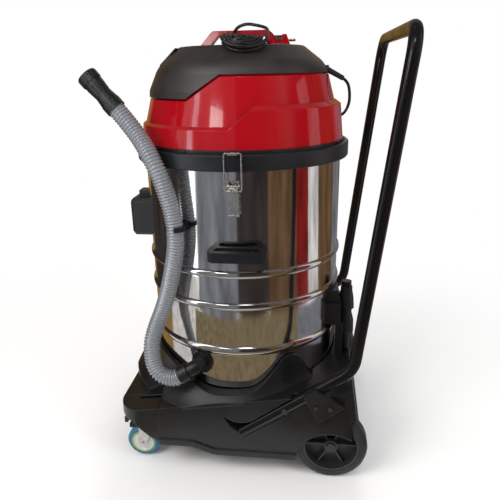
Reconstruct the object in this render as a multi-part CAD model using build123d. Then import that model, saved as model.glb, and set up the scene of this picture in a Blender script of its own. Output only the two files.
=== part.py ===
"""Wet and dry shop vacuum: trolley, stainless tank, motor head, drain hose and power cord.

Millimetres, +Z up. The origin is on the floor under the tank axis. -X is the inlet side,
+X the push handle side, -Y the near side.
"""
import math
import os

from build123d import *

os.makedirs("parts", exist_ok=True)

# Clearances
seat_gap = 0.1
shaft_gap = 0.05
swing_gap = 0.4
clip_gap = 0.9

# Tank
tank_r = 220.0
tank_wall = 1.2
tank_staves = 8
stave_turn = 10.0
tank_floor_z = 185.0
tank_top_z = 700.0
tank_corner = 14.0
bead_out = 5.0
bead_rows = ((464.5, 17.0), (392.5, 17.0), (287.0, 20.0))

# Rim collar and gasket
collar_out = 17.0
collar_down = 20.0
collar_up = 12.0
collar_lip = 4.0
collar_seat = 9.0
gasket_h = 6.0

# Motor head
base_h = 8.0
base_out = 6.0
housing_out = 4.0
housing_wall = 3.0
front_tier_h = 37.0
rear_tier_h = 72.0
tier_chamfer = 8.0
shoulder_h = 89.0
cone_h = 133.0
cone_foot_in = 2.7
cone_top_in = 30.8
cover_gap = 3.5
lip_in = 6.0
lip_t = 2.0
cover_h = 191.0
cover_wall = 3.0
facet_x = 121.0
facet_lean = 43.0

# Switches
panel_w = 150.0
panel_len = 50.0
panel_t = 3.0
rocker_len = 20.0
rocker_w = 14.0
rocker_pitch = 44.0
rocker_tip = 10.0
rocker_pin_r = 1.5

# Motors, filter and float
motor_x = 75.0
motor_r = 62.0
motor_h = 76.0
motor_wall = 3.0
eye_r = 30.0
fan_r = 52.0
fan_h = 14.0
rotor_shaft_r = 4.0
bag_r = 150.0
bag_len = 190.0
bag_t = 3.0
plenum_len = 230.0
plenum_w = 84.0
plenum_h = 24.0
float_r = 28.0
cage_drop = 84.0
valve_r = 20.0

# Carry handle
handle_w = 26.0
handle_rise = 32.0
handle_bar = 12.0
handle_plate = 3.5
tooth_pitch = 5.0

# Suction inlet and deflector
inlet_z = 535.0
inlet_w = 90.0
inlet_h = 90.0
inlet_out = 46.0
inlet_bore = 25.0
inlet_tube = 29.0
hood_depth = 60.0

# Latches
latch_x = 12.0
latch_w = 24.0
lever_len = 48.0
lever_t = 2.0
hinge_out = 14.0
hinge_drop = 48.0
hinge_pin_r = 2.0
bail_pin_out = 5.8
bail_pin_drop = 8.0
bail_wire_r = 1.5
bail_w = 36.0

# Tank handles
grip_x = 16.0
grip_len = 121.0
grip_h = 21.0
grip_out = 38.0
grip_t = 13.0
grip_lip = 4.0
grip_z = 514.5

# Drain
elbow_r = 17.0
elbow_bore = 13.0
cuff_r = 21.5
cuff_len = 22.0
socket_depth = 14.0
hose_r = 18.0
hose_root_r = 16.2
hose_bore_r = 14.5
rib_pitch = 6.3
coupling_len = 52.0
coupling_r = 20.0
cap_len = 20.0
cap_r = 19.5
cap_flutes = 12
hose_points = (
    (-116.0, -236.0, 231.0), (-129.6, -238.0, 223.0), (-158.3, -237.3, 227.2), (-177.5, -232.2, 248.4),
    (-184.0, -219.0, 294.0), (-175.0, -205.0, 330.0), (-159.5, -200.0, 365.0), (-145.2, -203.0, 403.0),
    (-131.6, -208.5, 445.0), (-120.5, -214.5, 488.0), (-113.0, -217.4, 526.5), (-112.6, -217.6, 563.0),
    (-117.0, -216.5, 598.0), (-125.0, -216.7, 630.0), (-135.0, -219.7, 667.0), (-149.4, -217.7, 700.0),
    (-184.0, -195.0, 752.0), (-230.0, -190.0, 804.0),
)

# Trolley
trolley_front = 272.0
trolley_rear = 280.0
trolley_half = 262.0
trolley_wall = 5.0
trolley_taper = 2.0
front_corner = 70.0
rear_corner = 40.0
sill_z = 50.0
nose_z = 67.0
band_h = 14.0
band_out = 3.0
deck_z = 182.0
deck_slope = 0.15
rear_top_x = 256.0
pocket_wall = 5.0

# Push handle
tube_r = 12.5
tube_wall = 1.5
leg_y = 250.0
leg_foot = (18.0, 106.0)
leg_knee = (253.0, 272.4)
leg_top = (328.9, 927.5)
knee_r = 60.0
corner_r = 45.0
tube_screw_x = 113.0
scoop_len = 137.0

# Casters
swivel_x = -202.0
swivel_y = 212.0
caster_trail = 20.0
caster_r = 38.0
caster_w = 26.0
caster_rim_r = 29.0
caster_axle_r = 4.0
fork_t = 3.0
pad_z = 97.0
pad_t = 10.0
plate_t = 4.0
king_r = 5.0
cover_skin = 4.0
cover_x = 168.5
cover_y = 195.5

# Rear wheels
wheel_x = 213.0
wheel_r = 79.0
wheel_w = 44.0
wheel_y = 231.0
wheel_rim_r = 62.0
axle_r = 6.0
web_y = 190.0
web_t = 8.0

# Parking post
post_x = 244.0
post_y = -60.0
post_r = 11.0
post_top = 395.0
bell_z = 267.0

# Power cord
cord_r = 3.25
coil_x = 24.0
coil_y = -121.0
coil_r = 42.0
coil_step = 3.65
coil_end_step = 5.0
coil_layers = 2
layer_halves = 7
layer_pitch = 7.2
coil_rest = 0.8
half_turn_arcs = 6
drape_in = 90.0
drape_bend = 20.0
drape_slope = 0.66
plug_r = 11.0
plug_len = 42.0
plug_pin_r = 2.4
plug_pin_len = 19.0

# Levels and radii that follow from the values above
rim_z = tank_top_z + collar_lip + gasket_h
head_z = rim_z + base_h
cover_z = head_z + cover_h
collar_r = tank_r + collar_out
housing_r = tank_r + housing_out
tank_in = tank_r - tank_wall
caster_x = swivel_x - caster_trail


def box(x0, x1, y0, y1, z0, z1):
    return Pos((x0 + x1) / 2, (y0 + y1) / 2, (z0 + z1) / 2) * Box(x1 - x0, y1 - y0, z1 - z0)


def cyl_x(r, x0, x1, y, z):
    return Pos((x0 + x1) / 2, y, z) * Rot(0, 90, 0) * Cylinder(r, x1 - x0)


def cyl_y(r, y0, y1, x, z):
    return Pos(x, (y0 + y1) / 2, z) * Rot(90, 0, 0) * Cylinder(r, y1 - y0)


def cyl_z(r, z0, z1, x=0.0, y=0.0):
    return Pos(x, y, (z0 + z1) / 2) * Cylinder(r, z1 - z0)


def turned(points):
    return revolve(Plane.XZ * make_face(Polyline(*points, close=True)), Axis.Z)


def side_solid(edges, y0, y1):
    """Prism from y0 to y1 of the closed outline that these edges draw in X and Z."""
    side = Plane(origin=(0, y0, 0), x_dir=(1, 0, 0), z_dir=(0, -1, 0))
    return extrude(side * make_face(edges), amount=y1 - y0, dir=(0, 1, 0))


def side_prism(points, y0, y1):
    return side_solid(Polyline(*points, close=True), y0, y1)


def plan_prism(points, z0, z1):
    face = Pos(0, 0, z0) * make_face(Polyline(*points, close=True))
    return extrude(face, amount=z1 - z0, dir=(0, 0, 1))


def far(shape):
    return mirror(shape, about=Plane.XZ)


def along(start, end, r0, r1):
    """Straight round bar or cone between two points."""
    axis = Vector(*end) - Vector(*start)
    place = Plane(origin=Vector(*start) + axis * 0.5, z_dir=axis)
    if r0 == r1:
        return place * Cylinder(r0, axis.length)
    return place * Cone(r0, r1, axis.length)


def bend_radii(points):
    """Largest smooth bend at each inner point: 0.45 of the shorter run over tan(half turn)."""
    radii = []
    for a, b, c in zip(points, points[1:], points[2:]):
        run_in = Vector(*b) - Vector(*a)
        run_out = Vector(*c) - Vector(*b)
        turn = math.radians(run_in.get_angle(run_out))
        radii.append(0.45 * min(run_in.length, run_out.length) / math.tan(turn / 2))
    return radii


def bent_tube(points, radii, r):
    path = FilletPolyline(*points, radius=radii)
    section = Plane(origin=path @ 0, z_dir=path % 0) * Circle(r)
    return sweep(section, path=path)


def unit(a, b):
    return (Vector(*b) - Vector(*a)).normalized()


def step(point, direction, distance):
    moved = Vector(*point) + direction * distance
    return (moved.X, moved.Y, moved.Z)


def place_of(point):
    return (point.X, point.Y, point.Z)


def deck(x):
    return deck_z + deck_slope * x


# Trolley


def trolley_form(inset, z0, z1):
    """Tapered plan of the trolley, drawn in by the inset, from z0 to z1."""
    grow = (sill_z - z0) * math.tan(math.radians(trolley_taper)) - inset
    half = trolley_half + grow
    x0 = -trolley_front - grow
    x1 = trolley_rear + grow
    outline = Pos((x0 + x1) / 2, 0, z0) * Rectangle(x1 - x0, 2 * half)
    corners = outline.vertices().sort_by(Axis.X)
    outline = fillet(corners[2:], rear_corner + grow)
    outline = fillet(outline.vertices().sort_by(Axis.X)[:2], front_corner + grow)
    return extrude(outline, amount=z1 - z0, taper=trolley_taper)


def trolley_outer():
    reach = trolley_front + 40
    profile = [
        (-reach, nose_z), (-95, nose_z), (-45, sill_z), (trolley_rear + 10, sill_z),
        (trolley_rear, sill_z + 0.1), (rear_top_x, deck(rear_top_x)), (-reach, deck(-reach)),
    ]
    body = trolley_form(0, sill_z, deck(trolley_rear) + 20) & side_prism(profile, -400, 400)
    band_profile = [
        (-reach, nose_z), (-95, nose_z), (-45, sill_z), (reach + 20, sill_z),
        (reach + 20, sill_z + band_h), (-41, sill_z + band_h), (-91, nose_z + band_h),
        (-reach, nose_z + band_h),
    ]
    band = trolley_form(-band_out, sill_z, sill_z + 60) & side_prism(band_profile, -400, 400)
    return body + band


def trolley_void():
    reach = trolley_front + 40
    profile = [
        (-reach, -20), (trolley_rear - trolley_wall, -20), (trolley_rear - trolley_wall, sill_z),
        (rear_top_x - trolley_wall, deck(rear_top_x) - trolley_wall), (-reach, deck(-reach) - trolley_wall),
    ]
    hollow = trolley_form(trolley_wall, sill_z - 10, deck(trolley_rear) + 20) & side_prism(profile,
                                                                                           -400, 400)
    cup = cyl_z(tank_r + 2 + pocket_wall, tank_floor_z - pocket_wall, 400)
    under = cyl_z(tank_r - 2, sill_z - 10, tank_floor_z - pocket_wall)
    return hollow - cup + under


def tank_ring():
    """Upstanding wall round the tank foot, high at the front and at the two rear ears."""
    top = tank_floor_z + 85
    inner, outer = tank_r + 2, tank_r + 62
    flare = [
        Polyline((outer, top - 105), (outer, 60), (inner, 60), (inner, top), (tank_r + 8, top)),
        Spline(
            (tank_r + 8, top), (tank_r + 12, top - 35), (tank_r + 20, top - 62),
            (tank_r + 36, top - 84), (outer, top - 105),
        ),
    ]
    low = tank_floor_z
    reach = trolley_front + 40
    saddle = [
        Polyline(
            (175, deck(175) - 4), (175, deck(175) - trolley_wall), (-reach, deck(-reach) - trolley_wall),
            (-reach, low + 55), (-200, low + 55),
        ),
        Spline(
            (-200, low + 55), (-140, low + 44), (-98, low + 25), (-62, low + 11),
            (0, low + 10), (45, low + 18), (74, low + 42), (102, low + 79),
        ),
        ThreePointArc((102, low + 79), (120, low + 85), (138, low + 77)),
        Spline((138, low + 77), (150, low + 52), (160, low + 32), (175, deck(175) - 4)),
    ]
    ring = revolve(Plane.XZ * make_face(flare), Axis.Z)
    return ring & side_solid(saddle, -400, 400)


def tube_z(x):
    rise = (leg_knee[1] - leg_foot[1]) / (leg_knee[0] - leg_foot[0])
    return leg_foot[1] + rise * (x - leg_foot[0])


def scoop_outline():
    """Crescent in the trolley side at the push handle foot, running up along the tube's upper half."""
    x, z = leg_foot
    half = tube_r * 1.23
    tip = (x - 39, z + 43)
    end_low = (x + scoop_len, tube_z(x + scoop_len) - 2)
    end_high = (x + scoop_len, tube_z(x + scoop_len) + half + 2)
    foot_low = (x + 21, tube_z(x + 21) - 1)
    foot_high = (x + 27, tube_z(x + 27) + half + 2)
    return [
        Spline(tip, (x - 25, z + 20), (x - 5, z + 6), foot_low),
        Polyline(foot_low, end_low, end_high, foot_high),
        ThreePointArc(foot_high, (x - 12, z + 29), tip),
    ]


def scoop_backing():
    """Outline of the thickening behind the scoop, a wall wider than the tube and the scoop."""
    x, z = leg_foot
    wide = tube_r * 1.23 + trolley_wall
    end = x + scoop_len + trolley_wall
    return [
        (x - 45, z + 50), (x - 34, z + 14), (x - 14, z - 14), (x + 12, tube_z(x + 12) - wide),
        (end, tube_z(end) - wide), (end, deck(end) - 1), (x + 90, deck(x + 90) - 1),
        (x + 27, tube_z(x + 27) + wide + 4), (x - 20, z + 56),
    ]


def trolley_base(handle, clamp_holes):
    body = trolley_outer() + (tank_ring() & trolley_form(-2, sill_z, 400))
    body += cyl_z(tank_r + 2 + pocket_wall, tank_floor_z - pocket_wall, tank_floor_z + 1)
    body -= trolley_void()
    recess_y = leg_y - tube_r - seat_gap
    backing = side_prism(scoop_backing(), -trolley_half, -recess_y + trolley_wall)
    backing &= trolley_form(0.5, sill_z, 400)
    recess = side_solid(scoop_outline(), -400, -recess_y)
    web_top = deck(wheel_x - 33) - 1
    web = box(wheel_x - 33, wheel_x + 33, -web_y - web_t / 2, -web_y + web_t / 2, wheel_r - 17, web_top)
    arch = cyl_y(wheel_r - 4, -400, -wheel_y - wheel_w / 2 - 1, wheel_x - 2, wheel_r - 36)
    well = cyl_y(wheel_r + 5, -wheel_y - wheel_w / 2 - 2, -web_y - web_t / 2 - 1, wheel_x, wheel_r)
    well += box(trolley_rear - 12, 400, -wheel_y - wheel_w / 2 - 2, -wheel_y + 29, 0, wheel_r + 84)
    wall_in = trolley_half - 12
    corner = box(-400, -cover_x + 0.5, -400, -cover_y + 0.5, -10, 400)
    part_x = box(-cover_x + 0.5, -cover_x + 5.5, -wall_in, -cover_y + 5.5, pad_z, deck(-cover_x) - 1)
    part_y = box(-trolley_front + 3, -cover_x + 5.5, -cover_y + 0.5, -cover_y + 5.5, pad_z,
                 deck(-trolley_front) - 1)
    pad = box(swivel_x - 38, -cover_x + 5.5, -swivel_y - 38, -cover_y + 5.5, pad_z, pad_z + pad_t)
    king_hole = cyl_z(king_r + 1, pad_z - 1, pad_z + pad_t + 1, swivel_x, -swivel_y)
    for place in (lambda s: s, far):
        body += place(backing)
        body -= place(recess)
        body += place(web)
        body -= place(arch)
        body -= place(well)
        body -= place(corner)
        body += place(part_x)
        body += place(part_y)
        body += place(pad)
        body -= place(king_hole)
    body -= cyl_z(tank_r + 2, tank_floor_z, 500)
    body -= cyl_y(axle_r + seat_gap, -300, 300, wheel_x, wheel_r)
    for hole in clamp_holes:
        body -= hole
    return body - handle


def caster_cover():
    """Corner cover over the near caster, standing on the caster pad by two posts."""
    reach = trolley_front + 40
    keep = box(-reach, -cover_x, -400, -cover_y, 0, 400)
    outer = trolley_outer() & keep
    outer_full = trolley_form(0, sill_z, 400) & keep
    low = [
        (-cover_x + 10, 0), (-cover_x + 10, 72), (-cover_x, 72), (-177, 76), (-190, 83), (-212, 101),
        (-232, 115), (-reach, 128), (-reach, 0),
    ]
    skin_in = box(-reach, -cover_x - cover_skin, -400, -cover_y - cover_skin, 0, 400)
    roof = [
        (-reach, 0), (0, 0), (0, deck(0) - cover_skin), (-reach, deck(-reach) - cover_skin),
    ]
    hollow = trolley_form(cover_skin, sill_z - 10, 400) & side_prism(roof, -400, 0) & skin_in
    shell = (outer & outer_full) - hollow - side_prism(low, -400, 0)
    post_z = pad_z + pad_t
    posts = cyl_z(5, post_z, deck(-190) - 2, -182, -swivel_y - 26)
    posts += cyl_z(5, post_z, deck(-232) - 2, -228, -swivel_y + 10)
    slot = box(-223, -173, -212, -202, deck(-240) - 15, 400)
    foot_clear = box(-trolley_front + 10, -cover_x + 5, -swivel_y - 42, 0, 0, post_z)
    return shell - foot_clear + posts - slot


def handle_points():
    return [
        (leg_foot[0], -leg_y, leg_foot[1]), (leg_knee[0], -leg_y, leg_knee[1]),
        (leg_top[0], -leg_y, leg_top[1]),
        (leg_top[0], leg_y, leg_top[1]), (leg_knee[0], leg_y, leg_knee[1]),
        (leg_foot[0], leg_y, leg_foot[1]),
    ]


def handle_bar_shape(r):
    return bent_tube(handle_points(), [knee_r, corner_r, corner_r, knee_r], r)


def handle_clamp():
    """Angled plate that holds the push handle against the trolley side."""
    x, z = 175.0, tube_z(175.0)
    plate = [(x - 22, z - 4), (x, z + 17), (x + 63, z - 23), (x + 9, z - 64)]
    return side_prism(plate, -leg_y - tube_r - 7, -trolley_half + 5)


clamp_screws = ((178.0, 190.0), (208.0, 190.0))


def trolley_screws():
    """Screws through the push handle feet and through the clamps."""
    y_out = leg_y + tube_r
    z = tube_z(tube_screw_x)
    screws = cyl_y(3, -y_out - 0.5, -leg_y + tube_r - 4, tube_screw_x, z)
    screws += cyl_y(7, -y_out - 3.5, -y_out - seat_gap, tube_screw_x, z)
    for x, z in clamp_screws:
        screws += cyl_y(2.5, -y_out - 7, -trolley_half + 1, x, z)
        screws += cyl_y(5, -y_out - 9.5, -y_out - 7, x, z)
    return screws + far(screws)


def screw_holes():
    z = tube_z(tube_screw_x)
    holes = cyl_y(3 + seat_gap, -400, -leg_y + tube_r - 4 + seat_gap, tube_screw_x, z)
    for x, z in clamp_screws:
        holes += cyl_y(2.5 + seat_gap, -400, -trolley_half + 1 + seat_gap, x, z)
    return holes + far(holes)


def rear_axle():
    return cyl_y(axle_r, -wheel_y - wheel_w / 2 + 2, wheel_y + wheel_w / 2 - 2, wheel_x, wheel_r)


def axle_caps():
    y0 = -wheel_y - wheel_w / 2 + 2
    cap = cyl_y(10, y0 - 2, y0 + 2 - swing_gap, wheel_x, wheel_r)
    cap -= cyl_y(axle_r + seat_gap, y0, y0 + 3, wheel_x, wheel_r)
    return cap + far(cap)


def rear_tyre():
    half = wheel_w / 2
    profile = [
        (wheel_rim_r + seat_gap, -half), (wheel_r - 8, -half), (wheel_r - 2, -half + 4),
        (wheel_r, -half + 10),
        (wheel_r, half - 10), (wheel_r - 2, half - 4), (wheel_r - 8, half), (wheel_rim_r + seat_gap, half),
    ]
    return Pos(wheel_x, -wheel_y, wheel_r) * Rot(90, 0, 0) * turned(profile)


def rear_hub():
    """Dished hub: rim, deep web, ribs and a long boss on the axle. Local +Z looks outward."""
    half = wheel_w / 2
    rim = [(wheel_rim_r - 6, -half + 1), (wheel_rim_r, -half + 1), (wheel_rim_r, half - 1),
           (wheel_rim_r - 6, half - 1)]
    hub = turned(rim)
    hub += cyl_z(wheel_rim_r - 5, -8, -3)
    hub += cyl_z(15, web_y + web_t / 2 + swing_gap - wheel_y, half - 4)
    for i in range(6):
        rib = box(12, wheel_rim_r - 4, -2, 2, -4, half - 12)
        hub += Rot(0, 0, 60 * i) * rib
    hub -= cyl_z(axle_r + shaft_gap, -half - 20, half + 20)
    hub -= cyl_z(11, half - 4 - swing_gap, half + 5)
    return Pos(wheel_x, -wheel_y, wheel_r) * Rot(90, 0, 0) * hub


def caster_plates():
    """Fixed plate and king pin of each caster, screwed under the caster pad."""
    plate = box(swivel_x - 30, swivel_x + 30, -swivel_y - 30, -swivel_y + 30, pad_z - plate_t, pad_z)
    head_top = pad_z - plate_t - 5
    pin = cyl_z(king_r, head_top - 2, pad_z + pad_t - 2, swivel_x, -swivel_y)
    head = cyl_z(king_r + 4, head_top - 4, head_top, swivel_x, -swivel_y)
    stem = plate + pin + head
    return stem + far(stem)


def caster_fork():
    top = pad_z - plate_t - swing_gap
    under = pad_z - plate_t - 5 + swing_gap
    inner = caster_w / 2 + 1.5
    yoke = cyl_z(22, under, top, swivel_x, -swivel_y)
    yoke += box(swivel_x - 24, swivel_x + 8, -swivel_y - inner - fork_t, -swivel_y + inner + fork_t,
                under, top)
    leg_shape = [
        (swivel_x - 24, top), (swivel_x + 8, top), (caster_x + 9, caster_r - 4),
        (caster_x + 4, caster_r - 9),
        (caster_x - 5, caster_r - 9), (caster_x - 9, caster_r - 3), (caster_x - 9, caster_r + 8),
    ]
    yoke += side_prism(leg_shape, -swivel_y - inner - fork_t, -swivel_y - inner)
    yoke += side_prism(leg_shape, -swivel_y + inner, -swivel_y + inner + fork_t)
    yoke += cyl_y(caster_axle_r, -swivel_y - inner - fork_t - 2, -swivel_y + inner + fork_t + 2,
                  caster_x, caster_r)
    return yoke - cyl_z(king_r + shaft_gap, under - 5, top + 5, swivel_x, -swivel_y)


def caster_tyre():
    half = caster_w / 2
    profile = [
        (caster_rim_r + seat_gap, -half), (caster_r - 5, -half), (caster_r, -half + 6), (caster_r, half - 6),
        (caster_r - 5, half), (caster_rim_r + seat_gap, half),
    ]
    return Pos(caster_x, -swivel_y, caster_r) * Rot(90, 0, 0) * turned(profile)


def caster_hub():
    half = caster_w / 2
    profile = [
        (caster_axle_r + shaft_gap, -half - 1), (9, -half - 1), (11, -half + 4),
        (caster_rim_r - 6, -half + 4),
        (caster_rim_r - 4, -half + 1), (caster_rim_r, -half + 1), (caster_rim_r, half - 1),
        (caster_rim_r - 4, half - 1), (caster_rim_r - 6, half - 4), (11, half - 4), (9, half + 1),
        (caster_axle_r + shaft_gap, half + 1),
    ]
    return Pos(caster_x, -swivel_y, caster_r) * Rot(90, 0, 0) * turned(profile)


def rear_post():
    """Parking tube for accessories, standing on the rear deck."""
    tube = cyl_z(post_r, deck(post_x) - 8, post_top, post_x, post_y)
    cut = [(0, 0), (0, deck(0)), (400, deck(400)), (400, 0)]
    return tube - side_prism(cut, post_y - 50, post_y + 50)


def rear_bracket():
    """Block on the tank rear with a foot on the deck and two bell-shaped clips on the parking tube."""
    low = bead_rows[2][0] + bead_rows[2][1] / 2 + 2
    high = bead_rows[1][0] - bead_rows[1][1] / 2 - 2
    x0 = 0.85 * tank_r
    x1 = post_x - 13
    block = box(x0, x1, post_y - 38, post_y + 40, low, high - 30)
    wedge = [(x0, high - 31), (x1, high - 31), (x1 - 9, high), (x0, high)]
    block += side_prism(wedge, post_y - 30, post_y + 30)
    foot = box(x1 - 9, x1 + 7, post_y - 30, post_y + 10, deck(post_x) - 20, low + 1)
    ground = [(0, 0), (0, deck(0)), (400, deck(400)), (400, 0)]
    foot -= side_prism(ground, -400, 400)
    bell = [
        (0, 0), (post_r + 9, 0), (post_r + 8, 30), (post_r + 3, 50), (post_r + 3, 62), (post_r + 8, 62),
        (post_r + 6, 88), (post_r + 2.5, 106), (post_r + 2.5, high - bell_z), (0, high - bell_z),
    ]
    shape = block + foot + Pos(post_x, post_y, bell_z) * turned(bell)
    shape -= cyl_z(tank_r + seat_gap, 0, 600)
    return shape - cyl_z(post_r + seat_gap, 0, 600, post_x, post_y)


# Tank


def tank_profile(inset, top):
    """Half section of the tank drawn in by the inset, up to the given height."""
    r = tank_r - inset
    floor = tank_floor_z + inset
    corner = tank_corner - inset
    lines = [Line((0, floor), (r - corner, floor)),
             RadiusArc((r - corner, floor), (r, floor + corner), -corner)]
    z = floor + corner
    for mid, height in reversed(bead_rows):
        lines.append(Line((r, z), (r, mid - height / 2)))
        lines.append(ThreePointArc((r, mid - height / 2), (r + bead_out, mid), (r, mid + height / 2)))
        z = mid + height / 2
    lines += [Line((r, z), (r, top)), Line((r, top), (0, top)), Line((0, top), (0, floor))]
    return revolve(Plane.XZ * make_face(lines), Axis.Z)


def drain_axis():
    """Point on the elbow knee, and the radial direction of the drain from the tank."""
    start = hose_points[0]
    lead = unit(hose_points[0], hose_points[1])
    knee = step(start, lead, -42.0)
    out = Vector(knee[0], knee[1], 0).normalized()
    return knee, out, lead


def tank_shell():
    """Thin can with its beads: the floor and the wall staves are solids that meet face to face."""
    knee, out, lead = drain_axis()
    shell = tank_profile(0, tank_top_z) - tank_profile(tank_wall, tank_top_z + 5)
    shell -= cyl_x(inlet_tube + seat_gap, -tank_r - 20, -tank_r + 60, 0, inlet_z)
    inside = (out.X * (tank_r - 40), out.Y * (tank_r - 40), knee[2])
    shell -= along(inside, knee, elbow_r + seat_gap, elbow_r + seat_gap)
    split_z = tank_floor_z + tank_corner
    solids = [(shell & cyl_z(tank_r + 20, 0, split_z)).solid()]
    wall = shell & cyl_z(tank_r + 20, split_z, tank_top_z + 5)
    half = math.pi / tank_staves
    reach = 2 * tank_r
    for i in range(tank_staves):
        wedge = plan_prism([
            (0, 0), (reach * math.cos(half), -reach * math.sin(half)),
            (reach * math.cos(half), reach * math.sin(half)),
        ], 0, tank_top_z + 10)
        turn = stave_turn + math.degrees(half) * (2 * i + 1)
        solids.append((wall & (Rot(0, 0, turn) * wedge)).solid())
    return Compound(children=solids)


def tank_collar():
    z = tank_top_z
    r = tank_r + seat_gap
    profile = [
        (r, z - collar_down), (collar_r - 1.5, z - collar_down), (collar_r, z - collar_down + 2),
        (collar_r, z + collar_up - 2), (collar_r - 2, z + collar_up), (tank_r + collar_seat, z + collar_up),
        (tank_r + collar_seat, z + collar_lip), (tank_r - 7, z + collar_lip), (tank_r - 7, z), (r, z),
    ]
    return turned(profile)


def mirrored_outline(points):
    """Closed outline from its +X half, mirrored about X = 0."""
    return points + [(-x, y) for x, y in reversed(points)]


def tank_handle():
    """Near grab handle: a closed loop with slanted ends, its back lip lying on the tank."""
    half = grip_len / 2
    y = -tank_r - grip_out
    outer = mirrored_outline([(half - 6, -tank_r + 20), (half, y + 20), (half - 2, y + 10), (half - 11, y)])
    inner = mirrored_outline([
        (half - 20, -tank_r - grip_lip), (half - grip_t + 1, y + 20), (half - grip_t - 3, y + grip_t),
    ])
    z0 = grip_z - grip_h / 2
    z1 = grip_z + grip_h / 2
    bar = Pos(grip_x, 0, 0) * (plan_prism(outer, z0, z1) - plan_prism(inner, z0 - 1, z1 + 1))
    bar -= cyl_z(tank_r + seat_gap, z0 - 5, z1 + 5)
    for x in grip_screws():
        bar -= cyl_y(2.5 + seat_gap, -tank_r - 10, -tank_r + 60, x, grip_z)
    return bar


def grip_screws():
    return (grip_x - 28, grip_x + 28)


def tank_screws():
    """Screws that hold both grab handles, heads on the back lips, shanks ending at the tank wall."""
    y = -tank_r - grip_lip
    screws = Part()
    for x in grip_screws():
        wall = -math.sqrt((tank_r + seat_gap) ** 2 - x * x) - 1.0
        screws += cyl_y(2.5, y - 1, wall, x, grip_z)
        screws += cyl_y(4.5, y - 3, y, x, grip_z)
    return screws + far(screws)


def suction_inlet():
    """Box on the tank front with the suction bore, and the spigot that passes into the tank."""
    x_out = -tank_r - inlet_out
    half = inlet_w / 2
    face = [
        (-half, inlet_z - inlet_h / 2 + 8), (-half + 8, inlet_z - inlet_h / 2),
        (half - 8, inlet_z - inlet_h / 2),
        (half, inlet_z - inlet_h / 2 + 8), (half, inlet_z + inlet_h / 2 - 8),
        (half - 8, inlet_z + inlet_h / 2),
        (-half + 8, inlet_z + inlet_h / 2), (-half, inlet_z + inlet_h / 2 - 8),
    ]
    back = Plane(origin=(-tank_r + 20, 0, 0), x_dir=(0, 1, 0), z_dir=(1, 0, 0))
    front = back * make_face(Polyline(*face, close=True))
    shape = extrude(front, amount=inlet_out + 20, dir=(-1, 0, 0))
    shape = chamfer(shape.faces().sort_by(Axis.X)[0].edges(), 6)
    shape += box(x_out + 15, -tank_r + 8, -16, 16, inlet_z + inlet_h / 2 - 1, inlet_z + inlet_h / 2 + 14)
    shape -= cyl_z(tank_r + seat_gap, 0, 900)
    shape += cyl_x(inlet_tube, x_out + 12, -tank_r + 25, 0, inlet_z)
    return shape - cyl_x(inlet_bore, x_out - 5, -tank_r + 30, 0, inlet_z)


def inlet_deflector():
    """Hood inside the tank that turns the incoming air down."""
    half = 36.0
    x_in = -tank_r + hood_depth
    hood = box(-tank_r - 5, x_in, -half, half, inlet_z - 38, inlet_z + 38)
    hood -= box(-tank_r - 6, x_in - 3, -half + 3, half - 3, inlet_z - 39, inlet_z + 35)
    return hood & cyl_z(tank_in - seat_gap, 0, 900)


def drain_elbow():
    knee, out, lead = drain_axis()
    end = hose_points[0]
    inside = (out.X * (tank_r - 6), out.Y * (tank_r - 6), knee[2])
    at_wall = (out.X * (tank_r - 4), out.Y * (tank_r - 4), knee[2])
    flange_end = (out.X * (tank_r + 5), out.Y * (tank_r + 5), knee[2])
    flange = along(at_wall, flange_end, elbow_r + 8, elbow_r + 8) - cyl_z(tank_r + seat_gap, 0, 900)
    shape = flange + bent_tube([inside, knee, end], [22.0], elbow_r)
    shape += along(step(end, lead, -cuff_len), end, cuff_r, cuff_r)
    shape -= bent_tube([step(inside, out, -5), knee, step(end, lead, 5)], [22.0], elbow_bore)
    return shape - along(step(end, lead, -socket_depth), step(end, lead, 5), hose_r + seat_gap,
                         hose_r + seat_gap)


def hose_route():
    lead = unit(hose_points[0], hose_points[1])
    return [step(hose_points[0], lead, -socket_depth + seat_gap)] + list(hose_points[1:])


def drain_hose():
    """Ribbed hose: a ruled loft through four circles a rib, with its bore."""
    points = hose_route()
    radii = bend_radii(points)
    path = FilletPolyline(*points, radius=radii)
    count = int(path.length / rib_pitch)
    print("drain_hose length %.1f ribs %d least bend %.1f" % (path.length, count, min(radii)))

    def ring(u, r):
        axis = path % u
        side = (Vector(0, 1, 0) - axis * axis.Y).normalized()
        return Wire.make_circle(r, Plane(origin=path @ u, x_dir=side, z_dir=axis))

    outer = []
    for i in range(count):
        for share, r in ((0.0, hose_root_r), (0.2, hose_r), (0.55, hose_r), (0.75, hose_root_r)):
            outer.append(ring((i + share) / count, r))
    outer.append(ring(1.0, hose_root_r))
    inner = [ring(i / (2 * count), hose_bore_r) for i in range(2 * count + 1)]
    return Solid.make_loft(outer, ruled=True) - Solid.make_loft(inner, ruled=True)


def coupling_frame():
    """Plane at the hose end, local +Z along the hose."""
    return Plane(origin=hose_points[-1], z_dir=unit(hose_points[-2], hose_points[-1]))


def hose_coupling():
    grip = 16.0
    root = hose_r + seat_gap
    length = coupling_len
    profile = [
        (hose_bore_r, 0), (hose_bore_r, length + 14), (cap_r - 4, length + 14), (cap_r - 4, length),
        (coupling_r - 1, length), (coupling_r - 1, length - 6), (coupling_r - 3.2, length * 0.45),
        (coupling_r - 1, grip - 10), (coupling_r, grip - 12), (coupling_r, -grip + 2),
        (root, -grip + 2), (root, 0),
    ]
    return coupling_frame() * turned(profile)


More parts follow.
